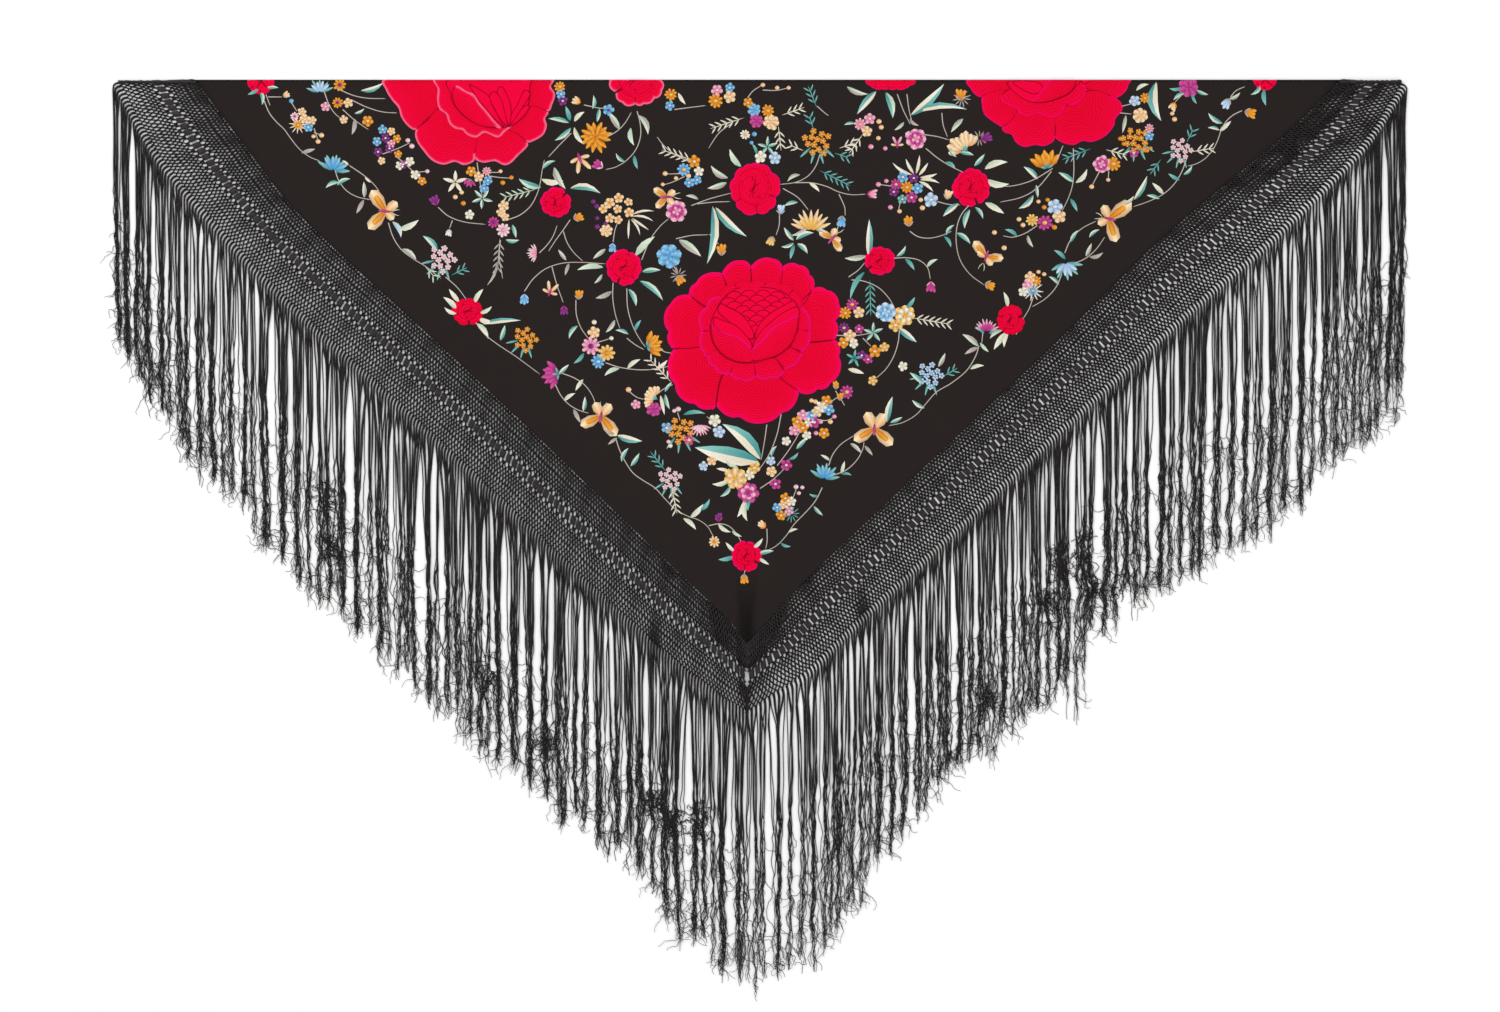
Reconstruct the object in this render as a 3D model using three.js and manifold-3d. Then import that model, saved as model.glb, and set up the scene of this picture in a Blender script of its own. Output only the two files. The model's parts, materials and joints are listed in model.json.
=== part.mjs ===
// A flamenco shawl: one square of black silk crepe, folded on its diagonal and laid flat with its point down,
// edged all round with a knotted net and a long silk fringe, and embroidered with roses.
// Millimetres, +Z up. X runs along the fold and Y from the point towards the fold. The origin is the centre
// of the shawl's box, on the surface that it lies on.
import * as THREE from "three";
import { mergeVertices } from "three/addons/utils/BufferGeometryUtils.js";
import Module from "manifold-3d";

const wasm = await Module();
wasm.setup();

// Driving sizes.
const FOLD_Y = 810; // the fold's place in Y
const LAYER = 1.5; // thickness of one layer of cloth, net or fringe
const LAYER_GAP = 0.3; // between the under and the upper layer
const SEAM_GAP = 0.3; // between pieces that are sewn or knotted together
const UPPER_Z = LAYER + LAYER_GAP; // underside of the upper layer
const TOP_Z = UPPER_Z + LAYER; // top of the upper layer
const STRAND_LENGTH = 517; // a fringe strand, from the net to its end
const LOCKS = 44; // locks of strands along one side, in one layer
const LOCK_WIDTH = 6.5;
const LOCK_HEIGHT = 1.35;
const REPEATS = 114; // openwork repeats along one side of the net
const SLIT = { length: 12.5, width: 4.2 }; // the largest gap of each repeat
const FOLD_SHARE = 0.997; // the fold draws in at its ends, clear of the net
const GROOVE_DEPTH = 1.6; // how far the two layers part along the net's outer edge

// Cross-lines of the net, from the fold to the point: where each one leaves the cloth (x, and how far down
// from the fold), the way that it runs outwards (degrees below level) and its length.
const LEFT_BAND = [
  { down: 0, x: -989, angle: 2, length: 135 },
  { down: 90, x: -921, angle: 20, length: 137 },
  { down: 210, x: -830, angle: 40, length: 120 },
  { down: 300, x: -740, angle: 52, length: 123 },
  { down: 460, x: -565, angle: 62, length: 128 },
  { down: 600, x: -415, angle: 68, length: 133 },
  { down: 730, x: -280, angle: 73, length: 138 },
  { down: 870, x: -134, angle: 79, length: 140 },
  { down: 940, x: -60, angle: 83, length: 134 },
  { down: 983, x: -24, angle: 90, length: 124 },
];
const RIGHT_BAND = [
  { down: 0, x: 1016, angle: 4, length: 108 },
  { down: 90, x: 926, angle: 12, length: 128 },
  { down: 210, x: 782, angle: 33, length: 128 },
  { down: 300, x: 679, angle: 41, length: 124 },
  { down: 460, x: 518, angle: 45, length: 114 },
  { down: 600, x: 370, angle: 47, length: 113 },
  { down: 730, x: 233, angle: 49, length: 114 },
  { down: 870, x: 85, angle: 50, length: 114 },
  { down: 940, x: 19, angle: 57, length: 114 },
  { down: 983, x: -22, angle: 90, length: 124 },
];

// Creases of the upper layer, which hang to the point: the line that each one follows, its width and its height.
const CREASES = [
  { x: -25, from: 880, to: 1110, width: 15, height: 8 },
  { x: -70, from: 880, to: 1010, width: 22, height: 3 },
  { x: 28, from: 840, to: 980, width: 20, height: 4 },
  { x: 78, from: 800, to: 900, width: 24, height: 3 },
  { x: -150, from: 780, to: 880, width: 30, height: 2.5 },
  { x: -184, from: 930, to: 1060, width: 14, height: 4 },
  { x: 180, from: 880, to: 960, width: 14, height: 3.5 },
  { x: 928, from: 80, to: 180, width: 12, height: 3.5 },
];

// Embroidered roses: the centre, how far down from the fold it is, the outer radius and the petals in the rim.
const ROSES = [
  { name: "rose_centre", x: -14, down: 458, radius: 155, petals: 9 },
  { name: "rose_fold_left", x: -507, down: 5, radius: 150, petals: 9 },
  { name: "rose_fold_right", x: 502, down: -8, radius: 142, petals: 9 },
  { name: "rose_fold_small", x: -217, down: 4, radius: 49, petals: 6 },
  { name: "rose_upper_centre", x: -9, down: 191, radius: 45, petals: 6 },
  { name: "rose_left_inner", x: -238, down: 329, radius: 32, petals: 6 },
  { name: "rose_left_outer", x: -357, down: 215, radius: 29, petals: 6 },
  { name: "rose_right_inner", x: 210, down: 318, radius: 28, petals: 6 },
  { name: "rose_right_outer", x: 371, down: 189, radius: 34, petals: 6 },
  { name: "rose_border_left", x: -511, down: 408, radius: 27, petals: 5 },
  { name: "rose_border_right", x: 437, down: 420, radius: 25, petals: 5 },
  { name: "rose_point", x: -23, down: 833, radius: 27, petals: 6 },
];
const ROSE_BASE = 0.3; // clear of the cloth under it
// A rose's relief from its heart to its rim, as a share of its radius and its height over the cloth.
const ROSE_RELIEF = [
  { share: 0, height: 2.3 },
  { share: 0.3, height: 2.0 },
  { share: 0.52, height: 1.9 },
  { share: 0.6, height: 1.2 },
  { share: 0.9, height: 1.4 },
  { share: 1, height: 0.8 },
];

const crepe = new THREE.MeshStandardMaterial({ color: 0x1d1a1a, roughness: 0.8, metalness: 0 });
const silkCord = new THREE.MeshStandardMaterial({ color: 0x151213, roughness: 0.55, metalness: 0 });
const redSilk = new THREE.MeshStandardMaterial({ color: 0xe3052f, roughness: 0.45, metalness: 0 });

// A closed solid as a manifold, from a geometry whose shared vertices are merged first.
function solidOf(geometry) {
  const bare = geometry.index ? geometry.toNonIndexed() : geometry.clone();
  bare.deleteAttribute("normal");
  bare.deleteAttribute("uv");
  const merged = mergeVertices(bare, 1e-4);
  const mesh = new wasm.Mesh({
    numProp: 3,
    vertProperties: merged.attributes.position.array,
    triVerts: new Uint32Array(merged.index.array),
  });
  return new wasm.Manifold(mesh);
}

// The triangles of a manifold as a geometry for a mesh.
function geometryOf(solid) {
  const { vertProperties, triVerts } = solid.getMesh();
  const geometry = new THREE.BufferGeometry();
  geometry.setAttribute("position", new THREE.BufferAttribute(vertProperties, 3));
  geometry.setIndex(new THREE.BufferAttribute(triVerts, 1));
  return geometry;
}

// Turns a closed geometry's faces round if they point inwards.
function facingOut(geometry) {
  const index = geometry.index.array;
  const [a, b, c] = [new THREE.Vector3(), new THREE.Vector3(), new THREE.Vector3()];
  const position = geometry.attributes.position;
  let volume = 0;
  for (let i = 0; i < index.length; i += 3) {
    a.fromBufferAttribute(position, index[i]);
    b.fromBufferAttribute(position, index[i + 1]);
    c.fromBufferAttribute(position, index[i + 2]);
    volume += a.dot(b.cross(c));
  }
  if (volume < 0) index.reverse();
  return geometry;
}

// A closed wall between two grids of points that have the same rows and columns: the upper face and the lower.
function wall(upper, lower) {
  const rows = upper.length;
  const columns = upper[0].length;
  const points = [...upper.flat(), ...lower.flat()];
  const face = (r, c) => r * columns + c;
  const under = rows * columns;
  const index = [];
  const quad = (p, q, s, t) => index.push(p, q, s, p, s, t);
  for (let r = 0; r + 1 < rows; r++) {
    for (let c = 0; c + 1 < columns; c++) {
      const corners = [face(r, c), face(r, c + 1), face(r + 1, c + 1), face(r + 1, c)];
      quad(...corners);
      quad(...corners.map((k) => k + under).reverse());
    }
    const [first, next] = [face(r, 0), face(r + 1, 0)];
    quad(first, next, next + under, first + under);
    const [last, after] = [face(r, columns - 1), face(r + 1, columns - 1)];
    quad(after, last, last + under, after + under);
  }
  for (let c = 0; c + 1 < columns; c++) {
    const [first, next] = [face(0, c), face(0, c + 1)];
    quad(next, first, first + under, next + under);
    const [last, after] = [face(rows - 1, c), face(rows - 1, c + 1)];
    quad(last, after, after + under, last + under);
  }
  const geometry = new THREE.BufferGeometry().setFromPoints(points);
  geometry.setIndex(index);
  return facingOut(geometry);
}

// A smooth hump from 0 at both ends to 1 in the middle.
const hump = (share) => (share <= 0 || share >= 1 ? 0 : Math.sin(Math.PI * share) ** 2);

// How far the creases lift the upper layer at a place.
function lift(x, down) {
  let height = 0;
  for (const crease of CREASES) {
    const across = (x - crease.x) / (2 * crease.width) + 0.5;
    const along = (down - crease.from) / (crease.to - crease.from);
    height += crease.height * hump(across) * hump(along);
  }
  return height;
}

// The net's two long lines on one side, as curves from the fold to the point: the cloth's edge, the net's
// outer line, and the line of the openwork between them, which spaces the repeats.
function bandOf(table, side) {
  const edge = [];
  const outer = [];
  for (const row of table) {
    const angle = THREE.MathUtils.degToRad(row.angle);
    const start = new THREE.Vector3(row.x, FOLD_Y - row.down, 0);
    const run = new THREE.Vector3(side * Math.cos(angle), -Math.sin(angle), 0);
    edge.push(start);
    outer.push(start.clone().addScaledVector(run, row.length));
  }
  const curve = (points) => new THREE.CatmullRomCurve3(points, false, "catmullrom", 0.4);
  const openwork = edge.map((point, k) => point.clone().lerp(outer[k], 0.5));
  return { side, edge: curve(edge), outer: curve(outer), openwork: curve(openwork) };
}

// A place on the net, `across` millimetres out from the cloth's edge.
function netPoint(band, u, across) {
  const start = band.edge.getPoint(u);
  const run = band.outer.getPoint(u).sub(start).normalize();
  return start.addScaledVector(run, across);
}

const netWidth = (band, u) => band.edge.getPoint(u).distanceTo(band.outer.getPoint(u));
const left = bandOf(LEFT_BAND, -1);
const right = bandOf(RIGHT_BAND, 1);

// Stations along each side, shared by the cloth, the net and the fringe so that their edges stay parallel.
const STATION_STEPS = 2 * (LEFT_BAND.length - 1);
const stations = Array.from({ length: STATION_STEPS + 1 }, (_, k) => k / STATION_STEPS);

// The cloth: a wall that runs up the upper layer, round the fold and down the under layer.
function clothSolid() {
  const columns = 10;
  const foldRadius = TOP_Z / 2;
  const insideRadius = foldRadius - LAYER;
  const foldSteps = 4;
  const upper = [];
  const lower = [];
  const line = (u, place) => {
    const [from, to] = [left.edge.getPoint(u), right.edge.getPoint(u)];
    return Array.from({ length: columns + 1 }, (_, k) => place(from.clone().lerp(to, k / columns)));
  };
  for (const u of [...stations].reverse().slice(0, -1)) {
    const raised = (z) => (p) => p.setZ(z + lift(p.x, FOLD_Y - p.y));
    upper.push(line(u, raised(TOP_Z)));
    lower.push(line(u, raised(UPPER_Z)));
  }
  for (let k = 0; k <= foldSteps; k++) {
    const turn = Math.PI * (0.5 - k / foldSteps);
    const round = (radius) => (p) =>
      p.set(
        p.x * FOLD_SHARE,
        FOLD_Y - foldRadius + radius * Math.cos(turn),
        foldRadius + radius * Math.sin(turn),
      );
    upper.push(line(0, round(foldRadius)));
    lower.push(line(0, round(insideRadius)));
  }
  for (const u of stations.slice(1)) {
    upper.push(line(u, (p) => p.setZ(0)));
    lower.push(line(u, (p) => p.setZ(LAYER)));
  }
  return wall(upper, lower);
}

// One side of the knotted net, both layers together, parted by a groove along the outer edge and cut
// through at the largest gap of each repeat.
function netSolid(band) {
  const shares = [0, 0.25, 0.5, 0.75, 1];
  const place = (u, share) => {
    const width = netWidth(band, u);
    const p = netPoint(band, u, SEAM_GAP + share * (width - SEAM_GAP));
    // The two sides meet under the point, and the net starts just under the fold's round.
    p.x = band.side < 0 ? Math.min(p.x, -23 - SEAM_GAP / 2) : Math.max(p.x, -23 + SEAM_GAP / 2);
    return p;
  };
  const grid = (height) => stations.map((u) => shares.map((share) => height(place(u, share))));
  const body = wall(
    grid((p) => p.setZ(TOP_Z + lift(p.x, FOLD_Y - p.y))),
    grid((p) => p.setZ(0)),
  );
  const grooveSpan = [-GROOVE_DEPTH, 1];
  const strip = (z) =>
    stations.map((u) => grooveSpan.map((beyond) => netPoint(band, u, netWidth(band, u) + beyond).setZ(z)));
  const groove = wall(strip(UPPER_Z), strip(LAYER));
  return solidOf(body).subtract(solidOf(groove)).subtract(slitCutters(band));
}

// The slots of the openwork on one side, each along its own cross-line.
function slitCutters(band) {
  const cutter = new THREE.BoxGeometry(SLIT.length, SLIT.width, 60);
  const slots = [];
  for (let k = 0; k < REPEATS; k++) {
    const u = band.openwork.getUtoTmapping((k + 0.5) / REPEATS);
    const run = netPoint(band, u, 1).sub(netPoint(band, u, 0));
    const centre = band.openwork.getPoint(u);
    const turned = cutter.clone().rotateZ(Math.atan2(run.y, run.x));
    slots.push(solidOf(turned.translate(centre.x, centre.y, 0)));
  }
  return wasm.Manifold.union(slots);
}

// A lock of fringe strands: a three-sided tapering bar through its centres.
function lockSolid(centres, widths, z) {
  const upper = [];
  const index = [];
  centres.forEach((p, k) => {
    const half = widths[k] / 2;
    upper.push(new THREE.Vector3(p.x - half, p.y, z), new THREE.Vector3(p.x + half, p.y, z));
    upper.push(new THREE.Vector3(p.x, p.y, z + LOCK_HEIGHT));
  });
  for (let k = 0; k + 1 < centres.length; k++) {
    for (let side = 0; side < 3; side++) {
      const [p, q] = [3 * k + side, 3 * k + ((side + 1) % 3)];
      index.push(p, p + 3, q + 3, p, q + 3, q);
    }
  }
  const end = upper.length - 3;
  index.push(0, 1, 2, end, end + 2, end + 1);
  const geometry = new THREE.BufferGeometry().setFromPoints(upper);
  geometry.setIndex(index);
  return solidOf(facingOut(geometry));
}

// One side's fringe in one layer: locks that leave a narrow strip along the net's cross-lines, then hang
// straight down, swaying a little together and uneven at their ends.
function fringeSolid(band, z, shift) {
  const stripWidth = 3;
  const strip = (height) =>
    stations.map((u) =>
      [SEAM_GAP, SEAM_GAP + stripWidth].map((beyond) => {
        const p = netPoint(band, u, netWidth(band, u) + beyond);
        p.x = band.side < 0 ? Math.min(p.x, -23 - SEAM_GAP / 2) : Math.max(p.x, -23 + SEAM_GAP / 2);
        return p.setZ(height);
      }),
    );
  const parts = [solidOf(wall(strip(z + LAYER), strip(z)))];
  for (let k = 0; k < LOCKS; k++) {
    const u = band.outer.getUtoTmapping((k + shift) / LOCKS);
    const root = netPoint(band, u, netWidth(band, u) + SEAM_GAP + stripWidth - 0.5);
    const bend = netPoint(band, u, netWidth(band, u) + 12);
    const uneven = 12 * Math.sin(2.4 * k) + 8 * Math.sin(5.1 * k + 1);
    const centres = [root, bend.setY(bend.y - 10)];
    for (const share of [0.36, 0.68, 1]) {
      const sway = 3.5 * Math.sin(0.7 * k + 5 * share) * share;
      centres.push(new THREE.Vector3(bend.x + sway, bend.y - share * (STRAND_LENGTH - 30 + uneven), 0));
    }
    const widths = [0.5, 1, 1.1, 1, 0.4].map((share) => share * LOCK_WIDTH);
    parts.push(lockSolid(centres, widths, z + 0.1));
  }
  return wasm.Manifold.union(parts);
}

// An embroidered rose: a scalloped cushion of stitches in rings of petals, lying on the cloth. One that
// meets the fold ends just short of it.
function roseSolid(rose) {
  const steps = rose.petals * (rose.radius > 100 ? 4 : 2);
  const surface = (x, down) => TOP_Z + lift(x, down) + ROSE_BASE;
  const ring = (share, height) =>
    Array.from({ length: steps + 1 }, (_, k) => {
      const angle = (2 * Math.PI * k) / steps;
      const scallop = 1 - 0.1 * (1 - Math.abs(Math.sin((rose.petals * angle) / 2)));
      const reach = rose.radius * share * (share > 0.5 ? scallop : 1);
      const x = rose.x + reach * Math.cos(angle);
      const down = rose.down - reach * Math.sin(angle);
      return new THREE.Vector3(x, FOLD_Y - down, surface(x, down) + height);
    });
  const points = [];
  const index = [];
  for (const { share, height } of ROSE_RELIEF.slice(1)) points.push(...ring(share, height).slice(0, steps));
  points.push(...ring(1, 0).slice(0, steps));
  const rings = ROSE_RELIEF.length;
  const heart = points.length;
  points.push(new THREE.Vector3(rose.x, FOLD_Y - rose.down, surface(rose.x, rose.down) + ROSE_RELIEF[0].height));
  points.push(new THREE.Vector3(rose.x, FOLD_Y - rose.down, surface(rose.x, rose.down)));
  for (let k = 0; k < steps; k++) {
    const next = (k + 1) % steps;
    index.push(heart, k, next);
    for (let r = 0; r + 1 < rings; r++) {
      const [p, q] = [r * steps + k, r * steps + next];
      index.push(p, p + steps, q + steps, p, q + steps, q);
    }
    index.push(heart + 1, (rings - 1) * steps + next, (rings - 1) * steps + k);
  }
  const geometry = new THREE.BufferGeometry().setFromPoints(points);
  geometry.setIndex(index);
  const solid = solidOf(facingOut(geometry));
  if (rose.down > rose.radius) return solid;
  const room = new THREE.BoxGeometry(400, 400, 40).translate(rose.x, FOLD_Y - TOP_Z / 2 - 200, TOP_Z);
  return solid.intersect(solidOf(room));
}

const shawl = new THREE.Group();

function add(name, geometry, material) {
  const mesh = new THREE.Mesh(geometry, material);
  mesh.name = name;
  shawl.add(mesh);
}

add("cloth", clothSolid(), crepe);
for (const [name, band] of [["left", left], ["right", right]]) {
  add("net_" + name, geometryOf(netSolid(band)), silkCord);
  add("fringe_front_" + name, geometryOf(fringeSolid(band, UPPER_Z, 0.25)), silkCord);
  add("fringe_back_" + name, geometryOf(fringeSolid(band, SEAM_GAP, 0.75)), silkCord);
}
for (const rose of ROSES) add(rose.name, geometryOf(roseSolid(rose)), redSilk);

export default shawl;
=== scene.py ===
# %% [markdown]
# # A folded flamenco shawl
#
# The shawl is a square of black silk crêpe, folded on its diagonal and laid flat. Both of its short edges
# carry a wide knotted net, and from the net hangs a long silk fringe. Roses, small flowers and butterflies
# are embroidered on the crêpe. This lesson builds each of these around the imported solids, in metres.

import json
import math

import bmesh
import bpy
import numpy as np
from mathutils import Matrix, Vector

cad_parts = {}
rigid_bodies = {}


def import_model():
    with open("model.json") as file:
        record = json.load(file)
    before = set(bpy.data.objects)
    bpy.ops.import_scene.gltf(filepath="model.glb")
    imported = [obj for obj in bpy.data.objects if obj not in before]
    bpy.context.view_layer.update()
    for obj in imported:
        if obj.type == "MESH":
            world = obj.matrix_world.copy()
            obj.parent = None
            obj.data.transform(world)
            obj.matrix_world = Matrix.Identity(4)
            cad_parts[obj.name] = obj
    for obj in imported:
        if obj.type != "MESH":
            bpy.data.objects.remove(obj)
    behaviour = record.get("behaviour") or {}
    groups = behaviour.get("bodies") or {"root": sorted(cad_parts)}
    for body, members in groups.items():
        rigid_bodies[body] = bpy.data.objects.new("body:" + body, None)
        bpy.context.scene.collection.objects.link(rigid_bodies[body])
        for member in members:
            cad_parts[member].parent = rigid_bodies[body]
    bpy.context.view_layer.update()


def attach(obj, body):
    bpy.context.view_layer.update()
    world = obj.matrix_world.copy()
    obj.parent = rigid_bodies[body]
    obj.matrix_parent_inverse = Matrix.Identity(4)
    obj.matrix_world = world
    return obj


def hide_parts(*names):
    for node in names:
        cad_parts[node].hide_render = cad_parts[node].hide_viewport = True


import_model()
ANY_TURN = 6.28  # a random angle lies between 0 and this

# %% [markdown]
# ## Camera
#
# The photograph looks straight down on the shawl. A long lens from high above keeps its outline as flat as
# the photograph's, so the camera stands seven metres up and its lens is worked out from the width that it
# sees.

# %% Camera
VIEW_WIDTH = 2.625
CAMERA_HEIGHT = 7.0
CAMERA_PLACE = (-0.0175, 0.0645)

camera_data = bpy.data.cameras.new("camera")
camera_data.sensor_width = 36
camera_data.lens = camera_data.sensor_width * CAMERA_HEIGHT / VIEW_WIDTH
camera = bpy.data.objects.new("camera", camera_data)
camera.location = (*CAMERA_PLACE, CAMERA_HEIGHT)
bpy.context.scene.collection.objects.link(camera)
bpy.context.scene.camera = camera
print("lens:", round(camera_data.lens, 1), "mm")

# %% [markdown]
# ## Floor and light
#
# The shawl lies on a plain pale floor. One wide soft lamp stands up to the left and gives the stitches
# their small shadows, and a second one on the right, with the pale surroundings, keeps the shadows light.

# %% Floor and light
LAMPS = [
    # name, place, size, power
    ("key", (-2.6, 2.4, 4.6), 3.0, 134),
    ("fill", (3.0, -1.0, 4.8), 3.5, 80),
]
SURROUNDINGS = 0.65
FLOOR_REACH = 6  # from the middle of the floor to its sides, in metres
FLOOR_DROP = 0.0004  # the floor lies this far below the solids
# The photograph's whites are plain white and its reds are strong, so colours are shown as they are.
bpy.context.scene.view_settings.view_transform = "Standard"


def add_lamp(name, place, size, power):
    """A square soft lamp that points at the shawl."""
    lamp = bpy.data.lights.new(name, "AREA")
    lamp.size = size
    lamp.energy = power
    holder = bpy.data.objects.new(name, lamp)
    holder.location = place
    holder.rotation_euler = (-Vector(place)).to_track_quat("-Z", "Y").to_euler()
    bpy.context.scene.collection.objects.link(holder)


for row in LAMPS:
    add_lamp(*row)
world = bpy.data.worlds.new("surroundings")
world.use_nodes = True
world.node_tree.nodes["Background"].inputs["Color"].default_value = (1, 1, 1, 1)
world.node_tree.nodes["Background"].inputs["Strength"].default_value = SURROUNDINGS
bpy.context.scene.world = world

bm = bmesh.new()
bmesh.ops.create_grid(bm, x_segments=1, y_segments=1, size=FLOOR_REACH)
bmesh.ops.translate(bm, verts=bm.verts, vec=(0, 0, -FLOOR_DROP))
floor_mesh = bpy.data.meshes.new("floor")
bm.to_mesh(floor_mesh)
bm.free()
floor = bpy.data.objects.new("floor", floor_mesh)
bpy.context.scene.collection.objects.link(floor)
print("lamps:", len(LAMPS))

# %% [markdown]
# ## Finishes
#
# Four finishes cover the shawl. The crêpe is matt with a pebbled grain. The net and fringe are twisted
# black silk with a soft gloss and speckles of painted glints. The embroidery floss takes its colour from each
# stitch group and has fine parallel threads with painted shade between them, and the roses add a pale rim, a
# dark outline deepened with painted shade and waved rows of long stitches. Each is a small tree of nodes on
# object coordinates, or on the map that follows the stitches.

# %% A helper for node trees
def linear(hex_colour):
    """The linear values of a colour that is written as in a paint chart."""
    parts = [int(hex_colour[k : k + 2], 16) / 255 for k in (0, 2, 4)]
    return tuple(c / 12.92 if c <= 0.04045 else ((c + 0.055) / 1.055) ** 2.4 for c in parts)


class Finish:
    """A material under construction: its nodes are added by kind and wired by name."""

    def __init__(self, name, roughness, **fixed):
        self.material = bpy.data.materials.new(name)
        self.material.use_nodes = True
        self.tree = self.material.node_tree
        self.shader = self.tree.nodes["Principled BSDF"]
        self.shader.inputs["Roughness"].default_value = roughness
        for socket, value in fixed.items():
            self.shader.inputs[socket.replace("_", " ")].default_value = value

    def node(self, kind, settings=(), **inputs):
        """Adds a node; an input is a value, or a socket to wire it from."""
        made = self.tree.nodes.new("ShaderNode" + kind)
        for key, value in dict(settings).items():
            setattr(made, key, value)
        for key, value in inputs.items():
            socket = made.inputs[int(key[1:])] if key[0] == "i" and key[1:].isdigit() else made.inputs[key]
            if isinstance(value, bpy.types.NodeSocket):
                self.tree.links.new(value, socket)
            else:
                socket.default_value = value
        return made

    def mix(self, factor, a, b):
        """A colour between a and b."""
        made = self.node("Mix", {"data_type": "RGBA"})
        for socket, value in zip((made.inputs[0], made.inputs[6], made.inputs[7]), (factor, a, b)):
            if isinstance(value, bpy.types.NodeSocket):
                self.tree.links.new(value, socket)
            elif isinstance(value, tuple):
                socket.default_value = (*value, 1)
            else:
                socket.default_value = value
        return made.outputs[2]

    def step(self, value, low, high):
        """0 below low, 1 above high, and smooth between."""
        ramp = self.node("MapRange", {"interpolation_type": "SMOOTHSTEP"}, Value=value, i1=low, i2=high)
        return ramp.outputs[0]

    def math(self, operation, a, b=0.0):
        return self.node("Math", {"operation": operation}, i0=a, i1=b).outputs[0]

    def done(self, colour, height=None, strength=0.5, distance=0.0005):
        self.tree.links.new(colour, self.shader.inputs["Base Color"])
        if height is not None:
            bump = self.node("Bump", Height=height, Strength=strength, Distance=distance)
            self.tree.links.new(bump.outputs[0], self.shader.inputs["Normal"])
        return self.material


# %% Crêpe
def crepe_finish():
    finish = Finish("black_crepe", 0.9, Specular_IOR_Level=0.12)
    place = finish.node("TexCoord").outputs["Object"]
    pebble = finish.node("TexNoise", Vector=place, Scale=900.0, Detail=3.0, Roughness=0.6).outputs["Fac"]
    cloud = finish.node("TexNoise", Vector=place, Scale=7.0, Detail=3.0).outputs["Fac"]
    colour = finish.mix(cloud, linear("1c1716"), linear("221d1b"))
    colour = finish.mix(finish.step(pebble, 0.3, 0.7), colour, linear("26201e"))
    # The deep fold above the point lies in its own shade.
    across, along = finish.node("SeparateXYZ", Vector=place).outputs[0:2]
    beside = finish.step(finish.math("ABSOLUTE", finish.math("ADD", across, 0.024)), 0.0, 0.024)
    outside = finish.math("MAXIMUM", beside, finish.step(along, -0.16, -0.03))
    colour = finish.mix(outside, linear("100c0b"), colour)
    return finish.done(colour, pebble, 0.5, 0.0004)


# %% Black silk cord
def cord_finish():
    finish = Finish("black_silk_cord", 0.5, Specular_IOR_Level=0.26)
    place = finish.node("TexCoord").outputs["Object"]
    twist = finish.node(
        "TexWave", {"bands_direction": "DIAGONAL"}, Vector=place, Scale=260.0, Distortion=1.5, Detail=1.0
    ).outputs["Fac"]
    # Lighter speckles along the silk: painted glints on the twisted threads, with some random tone.
    shade = finish.node("TexNoise", Vector=place, Scale=260.0, Detail=3.0, Roughness=0.7).outputs["Fac"]
    colour = finish.mix(finish.step(shade, 0.42, 0.68), linear("130f10"), linear("2f2929"))
    return finish.done(colour, twist, 0.4, 0.0003)


# %% Embroidery floss
# Painted shade between the threads is mixed towards this.
BLACK = (0.0, 0.0, 0.0)
FLOSS_THREADS, ROSE_THREADS = 5200.0, 4200.0  # radians of the threads' wave in each metre
ROW_SPACING = 0.0044  # between the rows of long stitches in a rose petal


def floss_finish():
    finish = Finish("coloured_floss", 0.55, Specular_IOR_Level=0.2)
    floss = finish.node("Attribute", {"attribute_name": "floss"}).outputs["Color"]
    stitches = finish.node("UVMap", {"uv_map": "stitches"}).outputs["UV"]
    across = finish.node("SeparateXYZ", Vector=stitches).outputs["Y"]
    wander = finish.node("TexNoise", Vector=stitches, Scale=120.0, Detail=1.0).outputs["Fac"]
    wave = finish.math("MULTIPLY", across, FLOSS_THREADS)
    thread = finish.math("SINE", finish.math("ADD", wave, finish.math("MULTIPLY", wander, 3.0)))
    height = finish.step(thread, -1.0, 1.0)
    # The grooves between the threads are darker: painted shade, beside the bump.
    dark = finish.mix(0.82, BLACK, floss)
    colour = finish.mix(finish.step(thread, -1.0, 0.2), dark, floss)
    return finish.done(colour, height, 0.5, 0.0003)


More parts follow.
